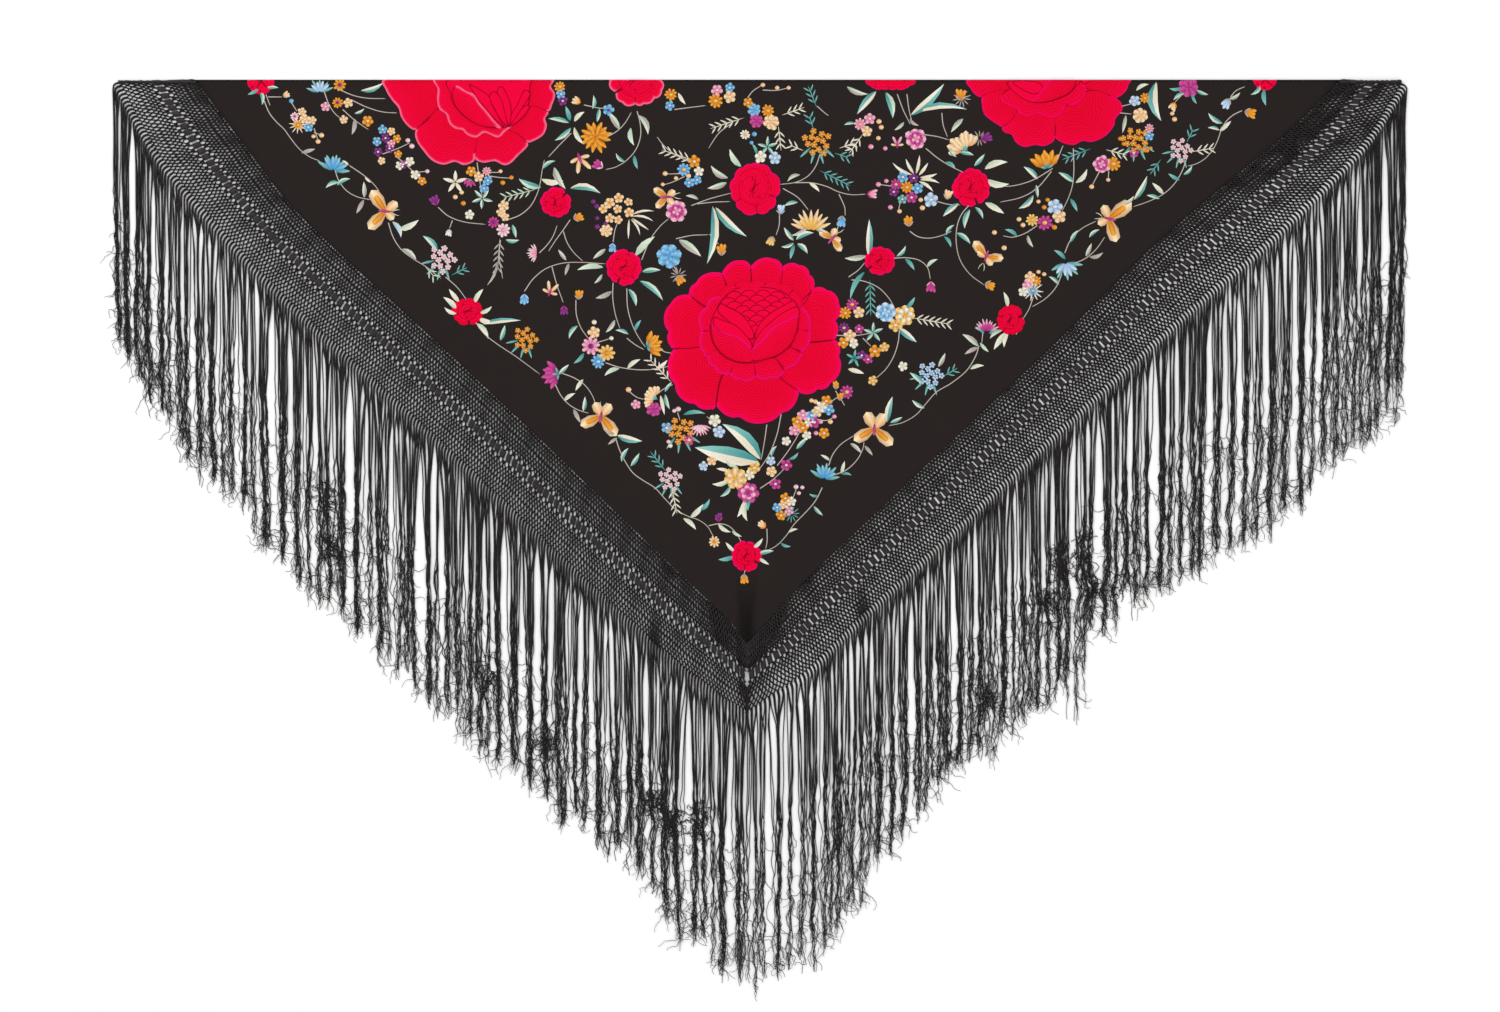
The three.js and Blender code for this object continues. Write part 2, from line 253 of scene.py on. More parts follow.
# %% Rose silk
def rose_finish():
    finish = Finish("rose_silk", 0.6, Specular_IOR_Level=0.04)
    petal = finish.node("Attribute", {"attribute_name": "petal"}).outputs["Vector"]
    split = finish.node("SeparateXYZ", Vector=petal)
    rim, side, rim_width = split.outputs[0], split.outputs[1], split.outputs[2]
    stitches = finish.node("UVMap", {"uv_map": "stitches"}).outputs["UV"]
    wander = finish.node("TexNoise", Vector=stitches, Scale=90.0, Detail=2.0).outputs["Fac"]
    sway = finish.math("MULTIPLY", finish.math("SUBTRACT", wander, 0.5), 0.0024)
    depth = finish.math("ADD", rim, sway)
    red = finish.mix(finish.step(depth, 0.0, 0.04), linear("f9003e"), linear("f00032"))
    # Rows of long stitches, one after another in from the rim.
    row = finish.math("PINGPONG", depth, ROW_SPACING / 2)
    seam = finish.step(row, 0.0, 0.0010)
    red = finish.mix(seam, linear("cc0024"), red)
    pale = finish.step(finish.math("DIVIDE", depth, rim_width), 0.35, 1.5)
    rim_floss = finish.node("Attribute", {"attribute_name": "floss"}).outputs["Color"]
    red = finish.mix(pale, finish.mix(0.85, red, rim_floss), red)
    # Darker along the sides where a petal meets the next: the line between petals, deepened with painted
    # shade.
    outline = finish.step(side, 0.0003, 0.0022)
    red = finish.mix(outline, linear("7a001a"), red)
    across = finish.node("SeparateXYZ", Vector=stitches).outputs["X"]
    wave = finish.math("MULTIPLY", across, ROSE_THREADS)
    thread = finish.math("SINE", finish.math("ADD", wave, finish.math("MULTIPLY", wander, 5.0)))
    # The grooves between the threads are a little darker: painted shade.
    red = finish.mix(finish.step(thread, -1.0, 0.4), finish.mix(0.94, BLACK, red), red)
    # Each petal is padded: it rises from its edges, and its rows and threads stand up a little.
    edge = finish.step(finish.math("MINIMUM", rim, side), 0.0, 0.0060)
    fine = finish.math("MULTIPLY", finish.step(thread, -1.0, 1.0), seam)
    height = finish.math("ADD", finish.math("MULTIPLY", fine, 0.5), edge)
    return finish.done(red, height, 0.8, 0.0012)


# %% The floor's finish
def floor_finish():
    finish = Finish("pale_floor", 0.9)
    place = finish.node("TexCoord").outputs["Object"]
    grain = finish.node("TexNoise", Vector=place, Scale=4.0, Detail=2.0).outputs["Fac"]
    return finish.done(finish.mix(grain, (0.93, 0.93, 0.925), (0.95, 0.95, 0.945)))


CREPE, CORD, FLOSS, ROSE = crepe_finish(), cord_finish(), floss_finish(), rose_finish()
floor_mesh.materials.append(floor_finish())
print("finishes:", [m.name for m in (CREPE, CORD, FLOSS, ROSE)])

# %% [markdown]
# ## The lines that every piece follows
#
# The net's cross-lines were read off the real shawl: near the fold they run level, because the net's own
# weight pulls it down, and towards the point they swing round under it. A smooth line through each end of
# them gives the cloth's edge and the net's outer edge, as in the solids.

# %% Cross-lines of the net
FOLD_Y = 0.81
TOP_Z = 0.0033
# For each side, from the fold to the point: how far down from the fold a cross-line leaves the cloth, its x
# there, its angle below level and its length, in millimetres and degrees.
CROSS_LINES = {
    "left": [
        (0, -989, 2, 135),
        (90, -921, 20, 137),
        (210, -830, 40, 120),
        (300, -740, 52, 123),
        (460, -565, 62, 128),
        (600, -415, 68, 133),
        (730, -280, 73, 138),
        (870, -134, 79, 140),
        (940, -60, 83, 134),
        (983, -24, 90, 124),
    ],
    "right": [
        (0, 1016, 4, 108),
        (90, 926, 12, 128),
        (210, 782, 33, 128),
        (300, 679, 41, 124),
        (460, 518, 45, 114),
        (600, 370, 47, 113),
        (730, 233, 49, 114),
        (870, 85, 50, 114),
        (940, 19, 57, 114),
        (983, -22, 90, 124),
    ],
}
NET_WIDTH = 0.122  # the width that the net's rows are stated for
REPEATS = 114  # of the openwork, along each side
WALK_STEPS = 3001  # places at which a side's middle line is measured


def smooth_line(points, u, tension=0.4):
    """Places on a smooth line through the points, for u from 0 to 1."""
    last = len(points) - 1
    place = np.clip(u, 0, 1) * last
    k = np.minimum(place.astype(int), last - 1)
    t = (place - k)[:, None]
    ends = np.vstack([2 * points[0] - points[1], points, 2 * points[-1] - points[-2]])
    before, a, b, after = (ends[k + step] for step in range(4))
    leave, arrive = tension * (b - before), tension * (after - a)
    return (
        (2 * t**3 - 3 * t**2 + 1) * a
        + (t**3 - 2 * t**2 + t) * leave
        + (3 * t**2 - 2 * t**3) * b
        + (t**3 - t**2) * arrive
    )


class Band:
    """One side of the net: its inner and outer line, and places between them."""

    def __init__(self, side):
        self.sign = -1 if side == "left" else 1
        rows = np.array(CROSS_LINES[side], float)
        start = np.column_stack([rows[:, 1], 1000 * FOLD_Y - rows[:, 0]]) / 1000
        angle = np.radians(rows[:, 2])
        run = np.column_stack([self.sign * np.cos(angle), -np.sin(angle)])
        self.inner = start
        self.outer = start + run * rows[:, 3:4] / 1000
        u = np.linspace(0, 1, WALK_STEPS)
        middle = (smooth_line(self.inner, u) + smooth_line(self.outer, u)) / 2
        self.walked = np.concatenate([[0], np.cumsum(np.linalg.norm(np.diff(middle, axis=0), axis=1))])
        self.u = u
        self.length = self.walked[-1]

    def column(self, c):
        """The u of column c, counted in half openwork repeats from the fold."""
        return np.interp(np.asarray(c, float) / (2 * REPEATS) * self.length, self.walked, self.u)

    def place(self, u, across):
        """x and y at u, `across` metres out on a net of the stated width."""
        a, b = smooth_line(self.inner, u), smooth_line(self.outer, u)
        return a + (b - a) * (np.asarray(across) / NET_WIDTH)[:, None]

    def run(self, u):
        """The way that the cross-line at u runs outwards."""
        way = smooth_line(self.outer, u) - smooth_line(self.inner, u)
        return way / np.linalg.norm(way, axis=1)[:, None]


bands = {side: Band(side) for side in CROSS_LINES}
print("length of each side's net:", {side: round(band.length, 3) for side, band in bands.items()})

# %% [markdown]
# ## Creases
#
# The upper layer isn't quite flat. A deep fold runs down through the point, where the right side laps over
# the left, and soft waves hang on both sides of it. Every piece on top asks the same function how high the
# creases lift it, so nothing sinks into the cloth.

# %% Creases
# The x of each crease, where it starts and ends below the fold, its width and its height, in millimetres.
CREASES = np.array(
    [
        (-25, 880, 1110, 15, 8),
        (-70, 880, 1010, 22, 3),
        (28, 840, 980, 20, 4),
        (78, 800, 900, 24, 3),
        (-150, 780, 880, 30, 2.5),
        (-184, 930, 1060, 14, 4),
        (180, 880, 960, 14, 3.5),
        (928, 80, 180, 12, 3.5),
        (1062, 40, 200, 10, 1.2),
    ]
) / 1000


def lift(x, y):
    """How far the creases lift the upper layer at a place, in metres."""
    x, down = np.asarray(x, float), FOLD_Y - np.asarray(y, float)
    height = np.zeros_like(x)
    for middle, start, end, width, rise in CREASES:
        across = np.clip((x - middle) / (2 * width) + 0.5, 0, 1)
        along = np.clip((down - start) / (end - start), 0, 1)
        height += rise * np.sin(np.pi * across) ** 2 * np.sin(np.pi * along) ** 2
    return height


print("highest crease:", round(float(lift(np.array([-0.025]), np.array([-0.185]))[0]) * 1000, 1), "mm")

# %% [markdown]
# ## Small helpers for pieces
#
# A piece is a mesh at the origin, with its place in its vertices. Cords are made as curves with a small
# section and then turned into a mesh, and small repeated things are one template's vertices copied by an
# array.

# %% Helpers for pieces
scratch = bpy.data.collections.new("scratch")
bpy.context.scene.collection.children.link(scratch)


def add_piece(name, mesh, material, replaces=()):
    """Puts a finished mesh in the scene as a piece of the shawl."""
    piece = bpy.data.objects.new(name, mesh)
    bpy.context.scene.collection.objects.link(piece)
    mesh.materials.clear()
    mesh.materials.append(material)
    mesh.polygons.foreach_set("use_smooth", np.ones(len(mesh.polygons), bool))
    mesh.update()
    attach(piece, "root")
    if replaces:
        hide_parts(*replaces)
    mesh.calc_loop_triangles()
    print(name, "has", len(mesh.loop_triangles), "triangles")
    return piece


def section(name, across, high, sides):
    """A closed outline that a cord's curve carries along itself."""
    outline = bpy.data.curves.new(name, "CURVE")
    outline.dimensions = "2D"
    spline = outline.splines.new("POLY")
    spline.points.add(sides - 1)
    turns = np.arange(sides) * 2 * math.pi / sides + math.pi / 2
    corners = np.column_stack([across * np.cos(turns), high * np.sin(turns), 0 * turns, 1 + 0 * turns])
    spline.points.foreach_set("co", corners.ravel())
    spline.use_cyclic_u = True
    holder = bpy.data.objects.new(name, outline)
    scratch.objects.link(holder)
    return holder


def cords_to_mesh(name, groups, profile, flat=False):
    """Cords as one closed mesh. A group is (places, radii): n cords by m points by 3, and n by m."""
    curve = bpy.data.curves.new(name, "CURVE")
    curve.dimensions = "3D"
    curve.bevel_mode = "OBJECT"
    curve.bevel_object = profile
    curve.use_fill_caps = True
    curve.twist_mode = "Z_UP" if flat else "MINIMUM"
    for places, radii in groups:
        for path, thick in zip(places, radii):
            spline = curve.splines.new("POLY")
            spline.points.add(len(path) - 1)
            spline.points.foreach_set("co", np.column_stack([path, np.ones(len(path))]).ravel())
            spline.points.foreach_set("radius", np.asarray(thick, float))
    holder = bpy.data.objects.new(name + "_curve", curve)
    scratch.objects.link(holder)
    bpy.context.view_layer.update()
    mesh = bpy.data.meshes.new_from_object(holder.evaluated_get(bpy.context.evaluated_depsgraph_get()))
    bpy.data.objects.remove(holder)
    bpy.data.curves.remove(curve)
    # The curve's end caps are loose: they are joined to their cords.
    bm = bmesh.new()
    bm.from_mesh(mesh)
    bmesh.ops.remove_doubles(bm, verts=bm.verts, dist=1e-6)
    bmesh.ops.recalc_face_normals(bm, faces=bm.faces)
    bm.to_mesh(mesh)
    bm.free()
    mesh.name = name
    return mesh


def template_arrays(bm):
    """The vertices and triangles of a small shape, from a bmesh that is then freed."""
    bmesh.ops.recalc_face_normals(bm, faces=bm.faces)
    bmesh.ops.triangulate(bm, faces=bm.faces)
    bm.verts.ensure_lookup_table()
    points = np.array([v.co[:] for v in bm.verts])
    faces = np.array([[v.index for v in f.verts] for f in bm.faces])
    bm.free()
    return points, faces


def sharpen(mesh, on_rim):
    """Keeps the shading of a low dome apart from its underside: edges along the rim stay sharp."""
    ends = np.zeros(2 * len(mesh.edges), int)
    mesh.edges.foreach_get("vertices", ends)
    along_rim = on_rim[ends].reshape(-1, 2).all(axis=1)
    mesh.attributes.new("sharp_edge", "BOOLEAN", "EDGE").data.foreach_set("value", along_rim)


def tiled(name, template, moved):
    """One mesh of a template's copies; moved holds each copy's vertices (copies by points by 3)."""
    points, faces = template
    copies = len(moved)
    every = (faces[None] + (np.arange(copies) * len(points))[:, None, None]).reshape(-1, 3)
    mesh = bpy.data.meshes.new(name)
    mesh.from_pydata(moved.reshape(-1, 3), [], every)
    return mesh


def paint(mesh, domain, colours):
    """Writes the floss colour of every corner or point of a mesh."""
    mesh.color_attributes.new("floss", "FLOAT_COLOR", domain).data.foreach_set("color", colours.ravel())


def join(name, meshes):
    """Several meshes as one; their maps and attributes of the same name are kept."""
    bm = bmesh.new()
    for mesh in meshes:
        bm.from_mesh(mesh)
        bpy.data.meshes.remove(mesh)
    joined = bpy.data.meshes.new(name)
    bm.to_mesh(joined)
    bm.free()
    return joined


THREAD = section("thread_section", 1.0, 1.0, 3)
FLAT_STITCH = section("stitch_section", 1.0, 0.42, 6)
print("helpers ready")

# %% [markdown]
# ## The crêpe
#
# The real cloth is one square, so it is one strip here too: up the front, round the fold and down the back.
# A plain grid is laid over that strip and each of its points is moved to its place; a Solidify modifier
# then gives it the thickness of crêpe. Bending a grid keeps the rows even, which a cut-out triangle would
# not.

# %% The crêpe
CLOTH_COLUMNS = 130
FRONT_ROWS, FOLD_ROWS, BACK_ROWS = 90, 8, 12
CREPE_THICKNESS = 0.0008
FOLD_SHARE = 0.997

bm = bmesh.new()
bmesh.ops.create_grid(bm, x_segments=CLOTH_COLUMNS, y_segments=FRONT_ROWS + FOLD_ROWS + BACK_ROWS, size=0.5)
cloth_mesh = bpy.data.meshes.new("crepe")
bm.to_mesh(cloth_mesh)
bm.free()
flat = np.zeros(3 * len(cloth_mesh.vertices))
cloth_mesh.vertices.foreach_get("co", flat)
flat = flat.reshape(-1, 3)
share = flat[:, 0] + 0.5
row = (flat[:, 1] + 0.5) * (FRONT_ROWS + FOLD_ROWS + BACK_ROWS)
on_front = row <= FRONT_ROWS
on_back = row >= FRONT_ROWS + FOLD_ROWS
up_front = 1 - row / FRONT_ROWS
down_back = (row - FRONT_ROWS - FOLD_ROWS) / BACK_ROWS
u = np.where(on_front, up_front, np.where(on_back, down_back, 0))
start, end = smooth_line(bands["left"].inner, u), smooth_line(bands["right"].inner, u)
xy = start + (end - start) * share[:, None]
turn = math.pi * (0.5 - np.clip((row - FRONT_ROWS) / FOLD_ROWS, 0, 1))
radius = TOP_Z / 2
round_y = FOLD_Y - radius + radius * np.cos(turn)
on_fold = ~on_front & ~on_back
xy[on_fold, 1] = round_y[on_fold]
xy[on_fold, 0] *= FOLD_SHARE
front_z = TOP_Z + lift(xy[:, 0], xy[:, 1])
fold_z = radius + radius * np.sin(turn)
z = np.where(on_front, front_z, np.where(on_back, 0.0, fold_z))
cloth_mesh.vertices.foreach_set("co", np.column_stack([xy, z]).ravel())
cloth_mesh.update()
if cloth_mesh.polygons[len(cloth_mesh.polygons) // 3].normal.z < 0:
    cloth_mesh.flip_normals()
cloth = add_piece("crepe", cloth_mesh, CREPE, ["cloth"])
wall = cloth.modifiers.new("thickness", "SOLIDIFY")
wall.thickness = CREPE_THICKNESS
wall.offset = -1
print("cloth area:", round(sum(p.area for p in cloth_mesh.polygons), 3), "m2")

# %% [markdown]
# ## The knotted net
#
# The net is knotted by hand from pairs of silk cords. From the cloth outwards it has three rows of small
# meshes, one long row and three small rows again, then an openwork of flat braided bars with slits between
# them, and then the same rows in the opposite order. Each cord zigzags from knot to knot across the net, so
# the cords are curves and the knots and bars are two small templates, copied to where the rows meet the
# columns. The under layer's row knots are left out, because the upper layer covers them.

# %% Rows of the net
# How far out each row of knots is, in millimetres, on both sides of the openwork.
INNER_ROWS = np.array([1.2, 6.9, 12.6, 18.3, 28.6, 34.2, 39.6, 44.8]) / 1000
OUTER_ROWS = NET_WIDTH - INNER_ROWS[::-1]
OUT_AND_IN = np.array([0.0, 0.5] * 4)
BAR_START, BAR_END = 0.0542, 0.0678
FRONT_LEVEL, BACK_LEVEL = 0.0029, 0.0018
KNOT_SIZE = (0.0043, 0.0042, 0.0017)  # along the edge, across the net, and high
BAR_SIZE = (0.0110, 0.0150, 0.0018)
END_KNOT_SIZE = (0.0060, 0.0038, 0.0017)  # closes a slit between two bars
END_KNOT_GAP = 0.0024  # between a bar's end and the knot that closes the slit
# The right side lies more bunched up than the left, so its cords are thicker and less light comes through.
CLOSENESS = {"left": 1.12, "right": 1.36}
OPENWORK_CORD = 0.74  # how thick the openwork's cords are, as a share of the others


def cord_radius(across, closeness):
    """The cords are thickest at the cloth, where they are drawn together."""
    return closeness * (0.00172 - 0.00046 * np.clip(np.asarray(across) / NET_WIDTH, 0, 1))


def knot_template():
    bm = bmesh.new()
    bmesh.ops.create_uvsphere(bm, u_segments=4, v_segments=2, radius=0.5)
    return template_arrays(bm)


def bar_template():
    """A flat braided bar: a block with eased edges."""
    bm = bmesh.new()
    bmesh.ops.create_cube(bm, size=1)
    bmesh.ops.bevel(
        bm,
        geom=bm.edges[:],
        offset=0.2,
        segments=1,
        profile=0.5,
        affect="EDGES",
        material=-1,
        clamp_overlap=True,
    )
    return template_arrays(bm)


KNOT, BAR = knot_template(), bar_template()


# %% Places on one layer of the net
class Layer:
    """One layer of one side of the net, with its height and its small unevenness."""

    def __init__(self, side, level, seed):
        self.band = bands[side]
        self.level = level
        self.closeness = CLOSENESS[side]
        self.waves = np.random.default_rng(seed).uniform(0, ANY_TURN, 4)

    def place(self, c, across):
        """Where column c meets a line `across` metres out. c and across are arrays of one shape."""
        c, across = np.broadcast_arrays(np.asarray(c, float), np.asarray(across, float))
        shape = c.shape
        c, across = c.ravel(), across.ravel()
        a, b, d, e = self.waves
        c = c + 0.14 * np.sin(c * 0.31 + a + across * 90) + 0.07 * np.sin(c * 0.83 + b)
        across = across + 0.0005 * np.sin(c * 0.53 + d) + 0.0003 * np.sin(c * 1.7 + e)
        xy = self.band.place(self.band.column(c), across)
        z = self.level + lift(xy[:, 0], xy[:, 1]) * (self.level == FRONT_LEVEL)
        return np.column_stack([xy, z]).reshape(*shape, 3)

    def ways(self, c, across):
        """The unit steps along the edge and across the net at each place."""
        step = 0.4
        along = self.place(c + step, across) - self.place(c - step, across)
        out = self.place(c, across + 0.001) - self.place(c, across - 0.001)
        return [w / np.linalg.norm(w, axis=-1, keepdims=True) for w in (along, out)]


# %% Cords, knots and bars of one layer
def zigzags(layer, rows, steps):
    """The two families of cords through one set of rows."""
    columns = np.arange(0, 2 * REPEATS + 1)[:, None]
    across = np.broadcast_to(rows, (len(columns), len(rows)))
    found = []
    for sign in (1, -1):
        places = layer.place(columns + sign * steps[None, :], across)
        wave = np.where(np.arange(len(rows)) % 2 == 0, 1, -1) * sign
        places[..., 2] += 0.0002 * wave
        bunched = 1 + 0.25 * np.clip(lift(places[..., 0], places[..., 1]) / 0.0012, 0, 1)
        found.append((places, bunched * cord_radius(rows, layer.closeness)[None, :]))
    return found


def openwork_cords(layer):
    """Cords that leave the last knots on each side, round the small diamonds, into the ends of the bars."""
    bars = 2 * np.arange(REPEATS)[:, None] + 0.5
    found = []
    ends = [(INNER_ROWS[-1], BAR_START, 1), (OUTER_ROWS[0], BAR_END, -1)]
    # Each cord has three places: how far across its repeat they are, and how far out.
    for knots, bar_end, way in ends:
        for sign in (1, -1):
            inside = bar_end + way * 0.001
            near = (np.array([0, 0.55, 0.40]), np.array([knots, knots + way * 0.0046, inside]))
            far = (np.array([1.0, 0.80, 0.50]), np.array([knots, knots + way * 0.0048, inside]))
            for across_bar, out in (near, far):
                places = layer.place(bars + sign * across_bar[None, :], np.broadcast_to(out, (REPEATS, 3)))
                radii = OPENWORK_CORD * cord_radius(out, layer.closeness)
                found.append((places, np.broadcast_to(radii, places.shape[:2])))
    return found


def copies_of(layer, template, c, across, size):
    """A template in each place, turned to lie along the net."""
    centre = layer.place(c, across)
    along, out = layer.ways(c, across)
    up = np.cross(along, out)
    along, up = along * np.sign(up[..., 2:3]), up * np.sign(up[..., 2:3])
    points = template[0] * np.array(size)
    centre, along, out, up = (v.reshape(-1, 1, 3) for v in (centre, along, out, up))
    return centre + points[None, :, 0:1] * along + points[None, :, 1:2] * out + points[None, :, 2:3] * up


def make_net(name, side, level, seed, replaces):
    layer = Layer(side, level, seed)
    groups = zigzags(layer, INNER_ROWS, OUT_AND_IN) + zigzags(layer, OUTER_ROWS, OUT_AND_IN[::-1])
    groups += openwork_cords(layer)
    cords = cords_to_mesh(name + "_cords", groups, THREAD)
    rows = np.concatenate([INNER_ROWS, OUTER_ROWS])
    shifts = np.concatenate([OUT_AND_IN, OUT_AND_IN[::-1]])
    c = np.arange(0, 2 * REPEATS + 1)[:, None] + shifts[None, :]
    across = np.broadcast_to(rows, c.shape)
    parts = [cords]
    if level == FRONT_LEVEL:
        parts.append(tiled(name + "_knots", KNOT, copies_of(layer, KNOT, c, across, KNOT_SIZE)))
    c = 2 * np.arange(REPEATS) + 0.5
    middle = np.full(REPEATS, (BAR_START + BAR_END) / 2)
    parts.append(tiled(name + "_bars", BAR, copies_of(layer, BAR, c, middle, BAR_SIZE)))
    for across in (BAR_START - END_KNOT_GAP, BAR_END + END_KNOT_GAP):
        ends = copies_of(layer, KNOT, c + 1, np.full(REPEATS, across), END_KNOT_SIZE)
        parts.append(tiled(name + "_end_knots", KNOT, ends))
    return add_piece(name, join(name, parts), CORD, replaces)


nets = [
    make_net("net_front_left", "left", FRONT_LEVEL, 11, ["net_left"]),
    make_net("net_front_right", "right", FRONT_LEVEL, 12, ["net_right"]),
    make_net("net_back_left", "left", BACK_LEVEL, 11, ["net_left"]),
    make_net("net_back_right", "right", BACK_LEVEL, 12, ["net_right"]),
]

# %% [markdown]
# Where the fold crosses the net, the doubled knots bunch up into a dark roll along the top edge. It is a
# short thick cord with uneven lumps.

# %% Rolled top edge of the net
ROLL_POINTS = 46
ROLL_DROP, ROLL_Z, ROLL_RADIUS = 0.0036, 0.0041, 0.0029  # how far below the fold, how high, and its radius
LUMPINESS = 0.0003
lumps = np.random.default_rng(5)
rolls = []
for start, end in ((-0.986, -1.122), (1.013, 1.122)):
    x = np.linspace(start, end, ROLL_POINTS)
    y = FOLD_Y - ROLL_DROP + lumps.normal(0, LUMPINESS, ROLL_POINTS)
    path = np.column_stack([x, y, np.full(ROLL_POINTS, ROLL_Z)])
    rolls.append(([path], [ROLL_RADIUS + lumps.normal(0, LUMPINESS, ROLL_POINTS)]))
ROPE = section("rope_section", 1.0, 1.0, 8)
nets.append(add_piece("net_top_roll", cords_to_mesh("net_top_roll", rolls, ROPE), CORD))

# %% [markdown]
# ## The fringe
#
# Two threads hang from every knot of the upper layer's last row, and one from every knot of the under
# layer's. They leave the net in line with its cords, bend down, and then cling to their neighbours in
# locks. Below the middle the silk is kinked and frayed, and in a few places the locks have tangled. Every
# thread is a curve of its own, because in a solid lock the light would not come through.

# %% Fringe settings
THREAD_RADIUS = 0.00102
LOWEST = 0.00105  # no strand's middle line comes lower than this
THREAD_WAVE, LOCK_WAVE, KINK = 0.0009, 0.0022, 0.0029  # how far each of these sways a thread aside
LONG_LOCK = (0.549, 0.010, 0.12)  # x and reach of the lock that hangs far below its neighbours, and how far
FRINGE_START = 0.1205  # how far out on the net the threads are knotted on
# How long the strands hang from the fold (0) to the point (1) of each side, in metres.
STRAND_LENGTHS = {
    "left": (
        [0, 0.14, 0.3, 0.45, 0.6, 0.72, 0.82, 0.9, 1],
        [0.435, 0.445, 0.472, 0.455, 0.467, 0.450, 0.428, 0.450, 0.474],
    ),
    "right": (
        [0, 0.05, 0.17, 0.27, 0.36, 0.45, 0.55, 0.64, 0.73, 0.83, 0.92, 1],
        [0.542, 0.535, 0.505, 0.485, 0.459, 0.414, 0.444, 0.440, 0.417, 0.447, 0.520, 0.480],
    ),
}
# For each side: the seed that shares its knots out to locks, which is the same in both layers, the fewest
# knots in a lock and the number that a lock stays below, and how closely its threads cling together.
LOCKS = {"left": (31, 2, 7, (0.62, 0.95)), "right": (32, 2, 6, (0.55, 0.9))}
STEPS_DOWN = np.array([0, 0.006, 0.012, 0.02, 0.032, 0.05, 0.075, 0.105, 0.135, 0.165, 0.19, 0.215])
STEPS_DOWN = np.concatenate([STEPS_DOWN, 0.215 + 0.0131 * np.arange(1, 22)])
# Tangles: x and y of each in metres, and its reach across and down.
TANGLES = [
    (-0.190, -0.455, 0.014, 0.018),
    (-0.160, -0.492, 0.016, 0.014),
    (-0.112, -0.490, 0.010, 0.030),
    (-0.752, -0.012, 0.010, 0.020),
    (-0.762, 0.068, 0.008, 0.020),
    (0.525, -0.030, 0.012, 0.018),
    (0.499, -0.109, 0.012, 0.024),
    (0.394, -0.275, 0.012, 0.018),
    (-0.376, -0.354, 0.012, 0.018),
    (-0.481, -0.249, 0.010, 0.024),
    (0.586, -0.083, 0.022, 0.016),
    (0.560, -0.020, 0.010, 0.030),
]


def locks_of(x, least, most, dice):
    """Which lock each thread belongs to, and the middle of each lock."""
    owner, lock = [], 0
    while len(owner) < len(x):
        owner += [lock] * int(dice.integers(least, most))
        lock += 1
    owner = np.array(owner[: len(x)])
    middle = np.array([x[owner == k].mean() for k in range(owner[-1] + 1)])
    return owner, middle


def eased(value):
    value = np.clip(value, 0, 1)
    return value * value * (3 - 2 * value)


